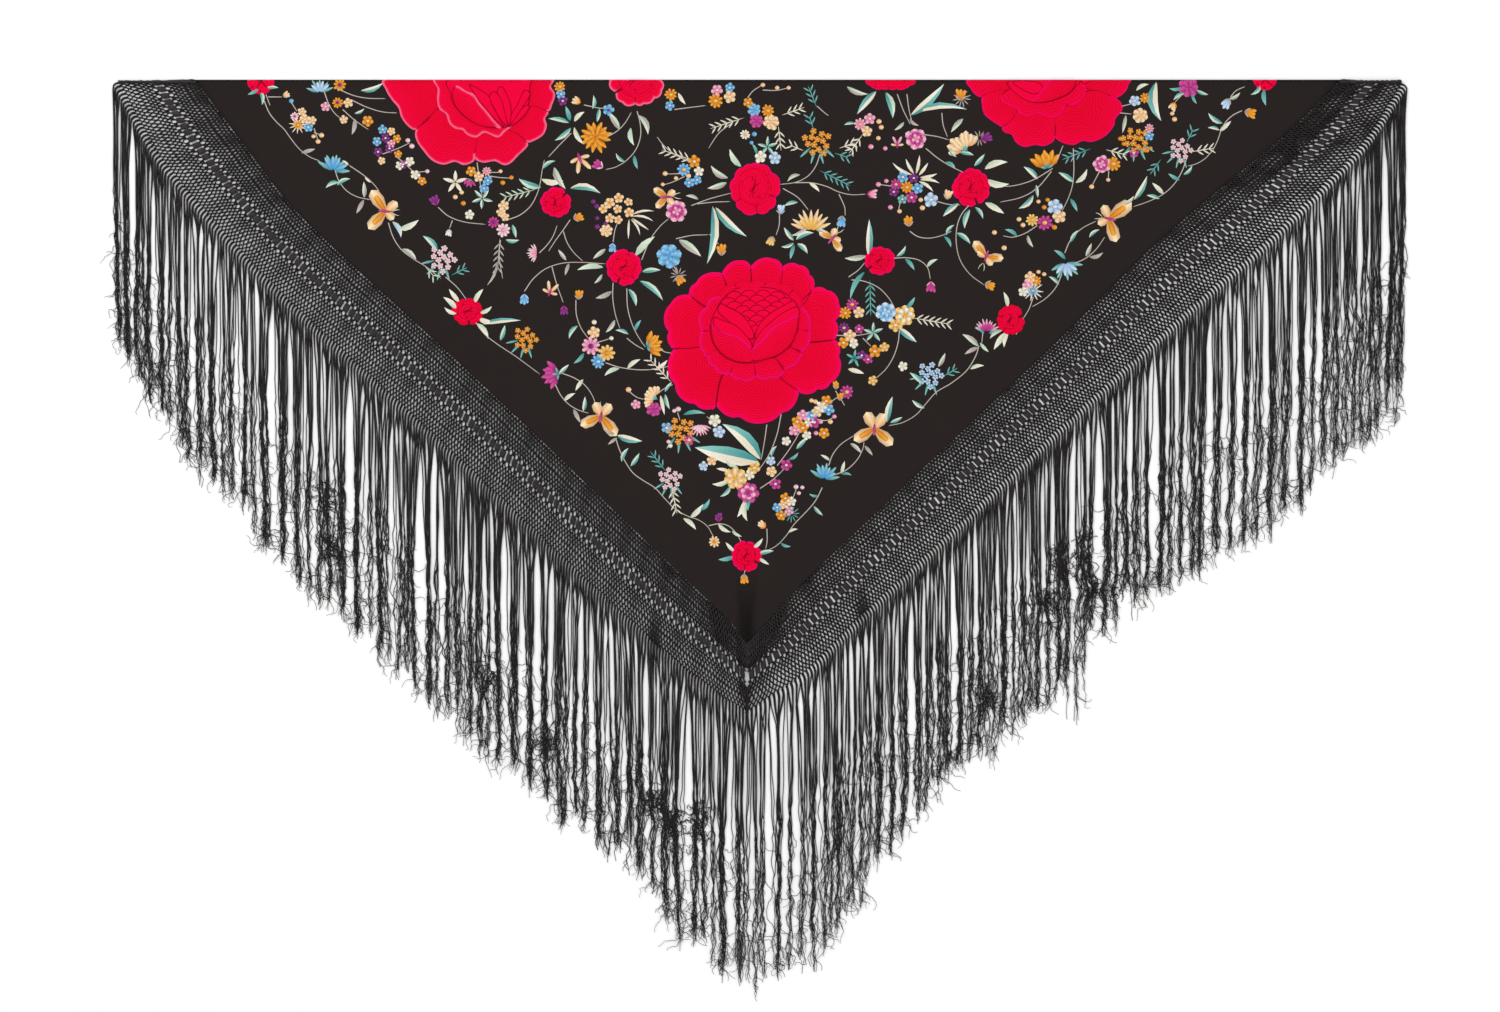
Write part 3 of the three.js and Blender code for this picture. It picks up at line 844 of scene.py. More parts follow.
# %% Threads of one layer
def fringe_threads(side, level, seed, offsets):
    """Places of every thread of one side's fringe in one layer: threads by points by 3."""
    dice = np.random.default_rng(seed)
    band = bands[side]
    columns = np.repeat(np.arange(0, 2 * REPEATS + 1), len(offsets)) + np.tile(offsets, 2 * REPEATS + 1)
    u = band.column(np.clip(columns, 0, 2 * REPEATS))
    root = band.place(u, np.full(len(u), FRINGE_START))
    run = band.run(u)
    count, steps = len(u), len(STEPS_DOWN)
    x = root[:, 0]
    each = len(offsets)
    small, small_middle = locks_of(x, each, 3 * each + 1, dice)
    lock_seed, fewest, most, closeness = LOCKS[side]
    knot_x = x.reshape(-1, each).mean(axis=1)
    large, large_middle = locks_of(knot_x, fewest, most, np.random.default_rng(lock_seed))
    large = np.repeat(large, each)
    locks = len(large_middle)
    half = np.array([np.ptp(x[large == k]) / 2 + 0.002 for k in range(locks)])
    offset = (x - large_middle[large]) / half[large]
    strand = np.interp(columns / (2 * REPEATS), *STRAND_LENGTHS[side])
    strand += dice.normal(0, 0.015, locks)[large] - 0.020 * offset**2 + dice.normal(0, 0.010, count)
    long_x, long_reach, further = LONG_LOCK
    strand += further * np.exp(-(((x - long_x) / long_reach) ** 2))
    s = STEPS_DOWN[None, :] * (strand / STEPS_DOWN[-1])[:, None]
    # The bend from the net's own direction to straight down.
    bent = eased(s / 0.022)
    way = run[:, None, :] * (1 - bent)[..., None] + np.array([0, -1.0]) * bent[..., None]
    way /= np.linalg.norm(way, axis=-1, keepdims=True)
    gap = np.diff(s, axis=1, prepend=0)
    xy = root[:, None, :] + np.cumsum(way * gap[..., None], axis=1)
    # Clinging together, first a few threads and then whole locks.
    lean = small_middle[small] - x
    pull = dice.uniform(0.7, 1.0, len(small_middle))[small] * lean
    xy[..., 0] += pull[:, None] * eased((s - 0.008) / 0.05)
    lean = large_middle[large] - small_middle[small]
    stray = np.where(dice.uniform(0, 1, count) < 0.14, dice.uniform(0, 0.5, count), 1.0)
    cling = dice.uniform(*closeness, locks)[large] * stray * lean + dice.normal(0, 0.003, locks)[large]
    xy[..., 0] += cling[:, None] * (0.6 * eased((s - 0.012) / 0.09) + 0.4 * eased((s - 0.12) / 0.16))
    # Slow waves, then kinks in the lower half.
    phase = dice.uniform(0, ANY_TURN, (count, 1))
    lock_phase = dice.uniform(0, ANY_TURN, locks)[large][:, None]
    xy[..., 0] += THREAD_WAVE * np.sin(s * 21 + phase) * np.clip(s / 0.12, 0, 1)
    xy[..., 0] += LOCK_WAVE * np.sin(s * 9 + lock_phase) * np.clip(s / 0.16, 0, 1)
    frayed = np.clip((s - 0.08) / 0.28, 0, 1) ** 1.2
    shared = dice.normal(0, 1, (len(small_middle), steps))[small]
    kinks = 0.7 * shared + 0.55 * dice.normal(0, 1, (count, steps))
    kinks = kinks + 0.5 * np.roll(kinks, 1, axis=1)
    xy[..., 0] += KINK * kinks * frayed
    xy[..., 1] += 0.0020 * dice.normal(0, 1, (count, steps)) * frayed
    # The tips of a lock come together.
    tip_lean = large_middle[large] - xy[:, -1, 0]
    xy[..., 0] += 0.4 * tip_lean[:, None] * eased((s - 0.32) / 0.14)
    for tx, ty, reach, tall in TANGLES:
        near = np.exp(-(((xy[..., 0] - tx) / (1.5 * reach)) ** 2) - ((xy[..., 1] - ty) / tall) ** 2)
        xy[..., 0] += (tx - xy[..., 0]) * 0.6 * near + 0.004 * near * dice.normal(0, 1, near.shape)
    z = level + 0.0006 * np.sin(s * 25 + phase) + 0.0003 * dice.normal(0, 1, (count, steps)) * frayed
    z = np.maximum(z, LOWEST)
    z[:, :6] += lift(xy[:, :6, 0], xy[:, :6, 1]) * (level == FRONT_LEVEL)
    radii = THREAD_RADIUS * (1.04 + 0.2 * np.exp(-s / 0.035) - 0.54 * np.clip(s / 0.48, 0, 1) ** 1.3)
    return np.concatenate([xy, z[..., None]], axis=-1), radii, dice


# %% Loose hairs and tangles
HAIR_POINTS = 10  # places along a loose hair
HAIR_RADIUS = (0.00066, 0.00036)  # at its root and its tip
SCRIBBLES = 26  # short threads in one tangle
SCRIBBLE_STEP, SCRIBBLE_RADIUS = 0.0042, 0.0008
DOWN = -math.pi / 2


def frizz(places, dice, count):
    """Loose hair-thin threads that curl away from the lower half of the strands."""
    threads = dice.integers(0, len(places), count)
    starts = dice.integers(15, places.shape[1] - 1, count)
    starts[: count // 3] = places.shape[1] - 3
    path = np.zeros((count, HAIR_POINTS, 3))
    path[:, 0] = places[threads, starts]
    heading = dice.normal(DOWN, 0.6, count)
    bend = dice.normal(0, 0.08, count)
    step = dice.uniform(0.0025, 0.0058, count)
    for k in range(1, HAIR_POINTS):
        heading = heading + bend + dice.normal(0, 0.85, count)
        heading = heading + 0.28 * (DOWN - heading)
        path[:, k, 0] = path[:, k - 1, 0] + step * np.cos(heading)
        path[:, k, 1] = path[:, k - 1, 1] + step * np.sin(heading)
        path[:, k, 2] = np.clip(path[:, k - 1, 2] + dice.normal(0, 0.0003, count), 0.0006, 0.0042)
    return path, np.tile(np.linspace(*HAIR_RADIUS, HAIR_POINTS), (count, 1))


def knots_of_tangle(side, dice):
    """Short scribbled threads that fill the tangles on one side."""
    sign = bands[side].sign
    paths = []
    for tx, ty, reach, tall in TANGLES:
        if tx * sign > 0:
            turn = np.cumsum(dice.normal(0, 1.1, (SCRIBBLES, HAIR_POINTS)), axis=1)
            x, y = dice.normal(tx, 0.5 * reach, SCRIBBLES), dice.normal(ty, 0.7 * tall, SCRIBBLES)
            start = np.column_stack([x, y])
            ways = np.stack([np.cos(turn), np.sin(turn)], axis=-1)
            walk = start[:, None, :] + SCRIBBLE_STEP * np.cumsum(ways, axis=1)
            paths.append(np.dstack([walk, dice.uniform(0.001, 0.0045, (SCRIBBLES, HAIR_POINTS))]))
    return np.concatenate(paths), np.full((SCRIBBLES * len(paths), HAIR_POINTS), SCRIBBLE_RADIUS)


# %% The four fringes
def make_fringe(name, side, level, seed, node, offsets, loose):
    places, radii, dice = fringe_threads(side, level, seed, offsets)
    groups = [(places, radii), frizz(places, dice, loose)]
    if level == FRONT_LEVEL:
        groups.append(knots_of_tangle(side, dice))
    return add_piece(name, cords_to_mesh(name, groups, THREAD), CORD, [node])


PAIR, SINGLE = [-0.13, 0.17], [0.02]  # where threads hang beside their knot, in columns
FRONT_HAIRS, BACK_HAIRS = 780, 300
fringes = [
    make_fringe("fringe_front_left", "left", FRONT_LEVEL, 21, "fringe_front_left", PAIR, FRONT_HAIRS),
    make_fringe("fringe_front_right", "right", FRONT_LEVEL, 22, "fringe_front_right", PAIR, FRONT_HAIRS),
    make_fringe("fringe_back_left", "left", BACK_LEVEL, 23, "fringe_back_left", SINGLE, BACK_HAIRS),
    make_fringe("fringe_back_right", "right", BACK_LEVEL, 24, "fringe_back_right", SINGLE, BACK_HAIRS),
]
print("fringe done")

# %% [markdown]
# ## Floss and stitch groups
#
# Everything except the roses is worked in long satin stitches. On the real shawl each petal or leaf is one
# padded group of them, dark where the threads start and bright at the tip. Here such a group is a small
# sphere drawn out to a petal, a leaf or a berry. The chart below lists what is worked where, in centimetres
# across and down from the middle of the fold, and all groups of one region are copied into one piece.

# %% Floss colours
# Each floss by its letter: its shade where the threads start, and at the tip.
SHADES = {
    "K": ("e878a4", "ffc4d6"),  # pink
    "P": ("e8b0c0", "ffe8e8"),  # pale pink
    "M": ("a01c78", "dc50a0"),  # magenta
    "V": ("5c1468", "9a3492"),  # violet
    "O": ("d87a10", "ffb030"),  # orange
    "G": ("e4a440", "ffd888"),  # gold
    "E": ("f4b474", "ffe6bc"),  # peach
    "C": ("e4d8bc", "fffaec"),  # cream
    "B": ("3f92cc", "94d0f6"),  # blue
    "L": ("98bce4", "d8ecfc"),  # pale blue
    "T": ("34908f", "94d2ca"),  # teal
    "S": ("b0ccb4", "f0f8e0"),  # sage
    "Y": ("a0968e", "d4cac0"),  # grey
}
FLOSS_COLOURS = {letter: tuple(linear(code) for code in pair) for letter, pair in SHADES.items()}


# %% Templates of stitch groups
def stitch_template(around, rings):
    """A small sphere with its ends on the x axis: share along, cosine and sine around, and its triangles."""
    bm = bmesh.new()
    bmesh.ops.create_uvsphere(bm, u_segments=around, v_segments=rings, radius=1.0)
    points, faces = template_arrays(bm)
    along = (1 - points[:, 2]) / 2
    reach = np.hypot(points[:, 0], points[:, 1]) + 1e-9
    return along, points[:, 1] / reach, points[:, 0] / reach, faces


SMALL, LARGE = stitch_template(4, 4), stitch_template(8, 6)
# How wide each kind is along itself, from its start to its tip.
OUTLINES = {
    "petal": ([0, 0.1, 0.35, 0.66, 0.9, 1], [0, 0.42, 0.82, 1.0, 0.72, 0]),
    "pointed": ([0, 0.1, 0.35, 0.66, 0.9, 1], [0, 0.5, 1.0, 0.85, 0.36, 0]),
    "leaf": ([0, 0.07, 0.25, 0.5, 0.75, 0.93, 1], [0, 0.42, 0.92, 1.0, 0.66, 0.2, 0]),
    "round": ([0, 0.1, 0.35, 0.66, 0.9, 1], [0, 0.62, 0.97, 0.97, 0.62, 0]),
}
STITCH_LIFT = 0.0003  # stitches start this far above the crêpe
FOLD_MARGIN = 0.0002  # and stay this far from the fold


class StitchChart:
    """The stitch groups of one piece, listed first and made into one mesh at the end."""

    def __init__(self):
        self.rows = []

    def add(self, shape, start, tip, width, floss, thick=0.0009, level=0.0, bend=0.0, halves=None):
        """A group from start to tip (cm across, cm down). halves: a second floss for its other side."""
        self.rows.append((shape, start, tip, width, floss, thick, level, bend, halves or floss))

    def made(self, name):
        meshes = []
        for shape, (knots, widths) in OUTLINES.items():
            rows = [row for row in self.rows if row[0] == shape]
            if rows:
                template = LARGE if shape == "leaf" else SMALL
                meshes.append(self.patch(name + "_" + shape, template, knots, widths, rows))
        return join(name, meshes)

    def patch(self, name, template, knots, widths, rows):
        along, across, up, faces = template
        start = np.array([row[1] for row in rows]) / 100
        tip = np.array([row[2] for row in rows]) / 100
        start[:, 1], tip[:, 1] = FOLD_Y - start[:, 1], FOLD_Y - tip[:, 1]
        wide = np.array([row[3] for row in rows])[:, None] / 200
        thick, level, bend = (np.array([row[k] for row in rows])[:, None] for k in (5, 6, 7))
        run = tip - start
        length = np.linalg.norm(run, axis=1)[:, None]
        way = run / length
        side = np.column_stack([-way[:, 1], way[:, 0]])
        half = np.interp(along, knots, widths)[None, :] * wide
        off = half * across[None, :] + bend * length * 4 * (along * (1 - along))[None, :]
        x = start[:, :1] + way[:, :1] * length * along + side[:, :1] * off
        y = start[:, 1:] + way[:, 1:] * length * along + side[:, 1:] * off
        y = np.minimum(y, FOLD_Y - FOLD_MARGIN)
        rise = np.maximum(up, -0.35)[None, :] * np.interp(along, knots, widths)[None, :] * thick
        z = TOP_Z + STITCH_LIFT + level + lift(x, y) + rise
        mesh = tiled(name, (np.column_stack([along, across, up]), faces), np.stack([x, y, z], axis=-1))
        sharpen(mesh, np.tile(np.abs(up) < 0.1, len(rows)))
        # Colour runs from start to tip; the second half of a leaf may have its own floss.
        first = np.array([FLOSS_COLOURS[row[4]] for row in rows])
        second = np.array([FLOSS_COLOURS[row[8]] for row in rows])
        share = along[faces] ** 1.2
        other = (across[faces].mean(axis=1) > 0)[None, :, None, None]
        shades = np.where(other, second[:, None, 0:1], first[:, None, 0:1]) * (1 - share)[None, :, :, None]
        shades = shades + np.where(other, second[:, None, 1:2], first[:, None, 1:2]) * share[None, :, :, None]
        # Painted shade: a small petal's colour is darker towards its rim and a little lighter along its
        # middle, which rounds it and parts it from the next one.
        if template is SMALL:  # a petal is darker along its rim, where it meets the next one
            shades = shades * (1.06 - 0.5 * np.abs(across[faces]))[None, :, :, None]
        colours = np.concatenate([shades, np.ones((*shades.shape[:3], 1))], axis=-1)
        paint(mesh, "CORNER", colours)
        u = length * along
        v = np.broadcast_to(off, u.shape) + (0.6 * u * np.sign(across) if template is LARGE else 0)
        maps = np.stack([u, v], axis=-1)[:, faces]
        mesh.uv_layers.new(name="stitches").data.foreach_set("uv", maps.ravel())
        return mesh


print("shades of floss:", len(SHADES))

# %% [markdown]
# ## Motifs
#
# A motif is a few stitch groups round a place: petals in rings or in a fan, leaves beside a stem, or the
# wings of a butterfly. Those with a front, such as a bud or a lotus, turn away from the nearest stem, as
# they would grow.

# %% Ring and fan
motif_dice = np.random.default_rng(7)
FULL_TURN = 6.2832
SECOND_RING, THIRD_RING = 0.0007, 0.0013  # how far an inner ring of petals lies above the outer one


def towards(place, angle, reach):
    """The place `reach` cm from another, at an angle from the right, counted upwards."""
    return place[0] + reach * math.cos(angle), place[1] - reach * math.sin(angle)


def petals(
    chart, centre, count, inner, outer, width, floss, turn=0.0, spread=FULL_TURN, shape="petal", **more
):
    """Petals side by side, all round or in a fan."""
    for k in range(count):
        share = k / count if spread == FULL_TURN else k / max(count - 1, 1) - 0.5
        angle = turn + share * spread + motif_dice.normal(0, 0.04)
        reach = outer * (1 + motif_dice.normal(0, 0.05))
        chart.add(shape, towards(centre, angle, inner), towards(centre, angle, reach), width, floss, **more)


def dot(chart, centre, radius, floss, **more):
    start, tip = (centre[0] - radius, centre[1]), (centre[0] + radius, centre[1])
    chart.add("round", start, tip, 2 * radius, floss, **more)


# %% Flowers
def floret(chart, at, r, floss, turn):
    petals(chart, at, 5, 0.12 * r, r, 0.92 * r, floss[0], turn)
    dot(chart, at, 0.24 * r, floss[1:] or "C", level=0.0006, thick=0.0007)


def daisy(chart, at, r, floss, turn):
    petals(chart, at, 9, 0.15 * r, r, 0.5 * r, floss[0], turn)
    dot(chart, at, 0.3 * r, floss[1:] or "G", level=SECOND_RING)


def mum(chart, at, r, floss, turn):
    petals(chart, at, 13, 0.3 * r, r, 0.34 * r, floss[0], turn, shape="pointed")
    petals(chart, at, 9, 0.1 * r, 0.68 * r, 0.32 * r, floss[1:] or floss[0], turn + 0.2, level=SECOND_RING)
    petals(chart, at, 6, 0.02 * r, 0.38 * r, 0.24 * r, floss[0], turn, level=THIRD_RING)


def umbel(chart, at, r, floss, turn):
    """A loose head of small florets on a few narrow leaves."""
    florets = 13
    for k in range(florets):
        reach, angle = r * math.sqrt((k + 0.35) / florets), turn + 2.4 * k
        floret(chart, towards(at, angle, reach), 0.24 * r, floss, angle)
    for k in range(4):
        back = turn + math.pi + (k - 1.5) * 0.55
        start, tip = towards(at, back, 0.6 * r), towards(at, back, 1.7 * r)
        chart.add("pointed", start, tip, 0.22 * r, "T", level=-0.0002)


def lotus(chart, at, r, floss, turn):
    base = towards(at, turn, -0.55 * r)
    inner = floss[1:] or floss[0]
    petals(chart, base, 5, 0.1 * r, 1.45 * r, 0.62 * r, floss[0], turn, 1.9, "pointed")
    petals(chart, base, 4, 0.1 * r, 1.2 * r, 0.6 * r, inner, turn, 1.2, "pointed", level=SECOND_RING)
    petals(chart, base, 2, 0.05 * r, 0.95 * r, 0.6 * r, floss[0], turn, 0.5, "pointed", level=THIRD_RING)
    petals(chart, base, 3, 0.0, 0.5 * r, 0.24 * r, "T", turn, 2.6, "pointed", level=0.0018)


def lily(chart, at, r, floss, turn):
    """A flower seen from the side, with a few long pointed petals."""
    base = towards(at, turn, -0.5 * r)
    petals(chart, base, 5, 0.1 * r, 1.5 * r, 0.42 * r, floss[1:] or floss[0], turn, 2.5, "pointed")
    petals(chart, base, 4, 0.1 * r, 1.25 * r, 0.5 * r, floss[0], turn, 1.7, "pointed", level=SECOND_RING)


def carnation(chart, at, r, floss, turn):
    base = towards(at, turn, -0.7 * r)
    petals(chart, base, 8, 0.5 * r, 1.6 * r, 0.62 * r, floss[0], turn, 2.3)
    petals(chart, base, 6, 0.4 * r, 1.3 * r, 0.55 * r, floss[1:] or floss[0], turn, 1.8, level=SECOND_RING)
    petals(chart, base, 4, 0.2 * r, 1.0 * r, 0.5 * r, floss[0], turn, 1.1, level=THIRD_RING)
    petals(chart, base, 3, -0.1 * r, 0.55 * r, 0.3 * r, "T", turn, 0.9, "pointed", level=0.0017)


def peony(chart, at, r, floss, turn):
    petals(chart, at, 7, 0.2 * r, r, 0.8 * r, floss[0], turn)
    petals(chart, at, 6, 0.1 * r, 0.72 * r, 0.6 * r, floss[1:] or floss[0], turn + 0.4, level=SECOND_RING)
    petals(chart, at, 4, 0.0, 0.42 * r, 0.4 * r, floss[0], turn, level=THIRD_RING)


def bud(chart, at, r, floss, turn):
    base = towards(at, turn, -0.6 * r)
    petals(chart, base, 3, 0.1 * r, 1.6 * r, 0.62 * r, floss[0], turn, 0.7, level=0.0004)
    petals(chart, base, 2, 0.0, 0.95 * r, 0.3 * r, floss[1:] or "Y", turn, 1.5, "pointed", level=0.0009)


def fan(chart, at, r, floss, turn):
    """A fringed flower seen from the side."""
    base = towards(at, turn, -0.5 * r)
    petals(chart, base, 9, 0.3 * r, 1.4 * r, 0.3 * r, floss[0], turn, 2.4, "pointed")
    petals(chart, base, 5, 0.1 * r, 0.95 * r, 0.4 * r, floss[1:] or "P", turn, 1.7, level=SECOND_RING)


def berry(chart, at, r, floss, turn):
    dot(chart, at, r, floss[0])


def spikes(chart, at, r, floss, turn):
    """Fine straight leaves all round, like a seed head."""
    petals(chart, at, 11, 0.2 * r, r, 0.16 * r, floss[0], turn, shape="pointed")


def star(chart, at, r, floss, turn):
    """Five leaves round a point."""
    petals(chart, at, 5, 0.05 * r, 1.1 * r, 0.34 * r, floss[0], turn, shape="leaf", halves=floss[1:] or None)


def insect(chart, at, r, floss, turn):
    """A small winged thing: two long wings, two short ones and a body."""
    for side in (0.45, -0.45):
        chart.add("petal", at, towards(at, turn + side, 1.1 * r), 0.34 * r, floss[0], 0.0007)
        chart.add("petal", at, towards(at, turn + 3.1 * side, 0.7 * r), 0.3 * r, "E", 0.0007, 0.0002)
    chart.add("round", towards(at, turn, -0.35 * r), towards(at, turn, 0.45 * r), 0.24 * r, "M", level=0.0008)


KINDS = {
    "floret": (floret, 0.85),
    "daisy": (daisy, 0.95),
    "mum": (mum, 1.8),
    "umbel": (umbel, 2.0),
    "lotus": (lotus, 2.0),
    "lily": (lily, 2.2),
    "carnation": (carnation, 1.8),
    "peony": (peony, 1.6),
    "bud": (bud, 1.15),
    "fan": (fan, 1.2),
    "berry": (berry, 0.42),
    "spikes": (spikes, 1.4),
    "star": (star, 2.6),
    "insect": (insect, 1.5),
}


# %% Leaves, twigs and butterflies
def leaf(chart, start, tip, width, floss):
    """A leaf of one floss, or of two, one for each side of its rib."""
    bend = motif_dice.uniform(-0.16, 0.16)
    chart.add("leaf", start, tip, 0.8 * width, floss[0], 0.0009, bend=bend, halves=floss[1:] or None)


def twig(chart, start, tip, floss):
    """A straight stem with narrow leaves in pairs."""
    length = math.dist(start, tip)
    angle = math.atan2(start[1] - tip[1], tip[0] - start[0])
    chart.add("pointed", start, tip, 0.22, floss[0], 0.0006)
    gap = 1.05
    for k in range(1, max(3, round(length / gap))):
        at = towards(start, angle, k * gap)
        for sign in (1, -1):
            chart.add("pointed", at, towards(at, angle + sign * 0.7, 1.4), 0.32, floss[0], 0.0007)


def butterfly(chart, body, wing, other_wing, small, other_small):
    """Two long pale wings with an orange edge, two small ones, a pink body and fine feelers."""
    angle = math.atan2(-(wing[1] + other_wing[1] - 2 * body[1]), wing[0] + other_wing[0] - 2 * body[0])
    for tip in (wing, other_wing):
        reach = math.dist(body, tip)
        chart.add("petal", body, tip, 0.56 * reach, "E", 0.0007)
        near = (body[0] + 0.78 * (tip[0] - body[0]), body[1] + 0.78 * (tip[1] - body[1]))
        chart.add("petal", body, near, 0.26 * reach, "O", 0.0008, 0.0004)
    for tip in (small, other_small):
        end = (1.6 * tip[0] - 0.6 * body[0], 1.6 * tip[1] - 0.6 * body[1])
        chart.add("petal", body, end, 0.9 * math.dist(body, tip) + 0.4, "E", 0.0008, 0.0003)
    tail, head = towards(body, angle + math.pi, 0.9), towards(body, angle, 1.3)
    chart.add("round", tail, head, 0.5, "M", 0.0010, 0.0012)
    for sign in (0.35, -0.35):
        start = towards(body, angle + math.pi, 1.1)
        tip = towards(start, angle + math.pi + sign, 1.5)
        chart.add("pointed", start, tip, 0.16, "C", 0.0006, 0.0003, bend=sign * 0.3)


# %% [markdown]
# ## Reading the chart
#
# Each entry of the chart gives a kind of motif, the letters of its floss, and its place, and a comma
# repeats the kind and the floss for the next place. A plural word is followed by a list of places. Stems
# are given by the places that they pass through. Sprouts are single leaves that point away from the nearest
# stem; their length comes first, where it isn't the usual one.

# %% Chart reader
STEM_WIDTH = 0.0019


def words_of(text):
    """Each motif of a chart as its word, its floss letters and its numbers."""
    for entry in text.split(";"):
        first, *more = entry.split(",")
        parts = first.split()
        if parts:
            word = parts.pop(0)
            letters = parts.pop(0) if parts[0].isalpha() else "Y"
            for numbers in (parts, *(group.split() for group in more)):
                yield word, letters, [float(number) for number in numbers]


def places_of(numbers):
    """Numbers in pairs, as places."""
    return list(zip(numbers[::2], numbers[1::2]))


def stem_path(numbers):
    """A smooth stem through its places, with its thickness, thin at the far end."""
    knots = np.array(numbers).reshape(-1, 2)
    if len(knots) == 2:
        knots = np.vstack([knots[0], knots.mean(axis=0), knots[1]])
    count = 5 * len(knots)
    knots[1:-1] = 0.5 * knots[1:-1] + 0.25 * (knots[:-2] + knots[2:])
    path = smooth_line(knots, np.linspace(0, 1, count), 0.5) / 100
    path[:, 1] = FOLD_Y - path[:, 1]
    height = TOP_Z + 0.0004 + lift(path[:, 0], path[:, 1])
    taper = np.linspace(1.1, 0.75, count)
    taper[-1] = 0.4
    return np.column_stack([path, height]), STEM_WIDTH / 2 * taper


def nearest_on(stems, at):
    """The nearest point of any stem, in cm, and how far it is."""
    gap = np.hypot(stems[:, 0] - at[0], stems[:, 1] - at[1])
    k = int(gap.argmin())
    return stems[k], gap[k]


def away_from(stems, at):
    """The angle away from the nearest stem, or up where none is near."""
    if len(stems):
        near, gap = nearest_on(stems, at)
        if 0.2 < gap < 4:
            return math.atan2(near[1] - at[1], at[0] - near[0])
    return math.pi / 2


def work_chart(name, text):
    """Makes one region of the embroidery from its chart."""
    chart = StitchChart()
    entries = list(words_of(text))
    paths = [stem_path(numbers) for word, letters, numbers in entries if word == "stem"]
    stems = np.vstack([np.column_stack([p[:, 0] * 100, (FOLD_Y - p[:, 1]) * 100]) for p, r in paths])
    for word, letters, numbers in entries:
        if word == "leaf":
            width = numbers[4] if len(numbers) > 4 else 0.34 * math.dist(numbers[:2], numbers[2:4])
            leaf(chart, numbers[:2], numbers[2:4], width, letters)
        elif word == "sprouts":
            length = numbers.pop(0) if len(numbers) % 2 else 2.3
            for at in np.array(numbers).reshape(-1, 2):
                near, gap = nearest_on(stems, at)
                angle = math.atan2(near[1] - at[1], at[0] - near[0])
                if gap <= 0.3:
                    angle = motif_dice.uniform(0, ANY_TURN)
                start = towards(at, angle, -length / 2)
                leaf(chart, start, towards(at, angle, length / 2), 0.36 * length, letters)
        elif word == "twig":
            twig(chart, numbers[:2], numbers[2:4], letters)
        elif word == "butterfly":
            butterfly(chart, *(tuple(p) for p in np.array(numbers).reshape(-1, 2)))
        elif word in KINDS:
            make, size = KINDS[word]
            at = tuple(numbers[:2])
            size = numbers[2] if len(numbers) > 2 else size
            turn = math.radians(numbers[3]) if len(numbers) > 3 else away_from(stems, at)
            make(chart, at, size, letters, turn)
        elif word in ("berries", "florets"):
            make, size = KINDS["berry" if word == "berries" else "floret"]
            for at in np.array(numbers).reshape(-1, 2):
                radius = size * motif_dice.uniform(0.85, 1.15)
                make(chart, tuple(at), radius, letters, motif_dice.uniform(0, ANY_TURN))
        elif word != "stem":
            raise ValueError("the chart has no such motif: " + word)
    stems_mesh = cords_to_mesh(name + "_stems", [([p], [r]) for p, r in paths], FLAT_STITCH, flat=True)
    shade = FLOSS_COLOURS["Y"]
    count = len(stems_mesh.loops)
    colours = np.tile([*(np.array(shade[0]) * 0.4 + np.array(shade[1]) * 0.6), 1.0], count)
    paint(stems_mesh, "CORNER", colours)
    spots = np.zeros(3 * len(stems_mesh.vertices))
    stems_mesh.vertices.foreach_get("co", spots)
    corner = np.zeros(count, int)
    stems_mesh.loops.foreach_get("vertex_index", corner)
    spots = spots.reshape(-1, 3)[corner]
    while stems_mesh.uv_layers:
        stems_mesh.uv_layers.remove(stems_mesh.uv_layers[0])
    stems_mesh.uv_layers.new(name="stitches").data.foreach_set("uv", spots[:, :2].ravel())
    return add_piece(name, join(name, [chart.made(name), stems_mesh]), FLOSS)


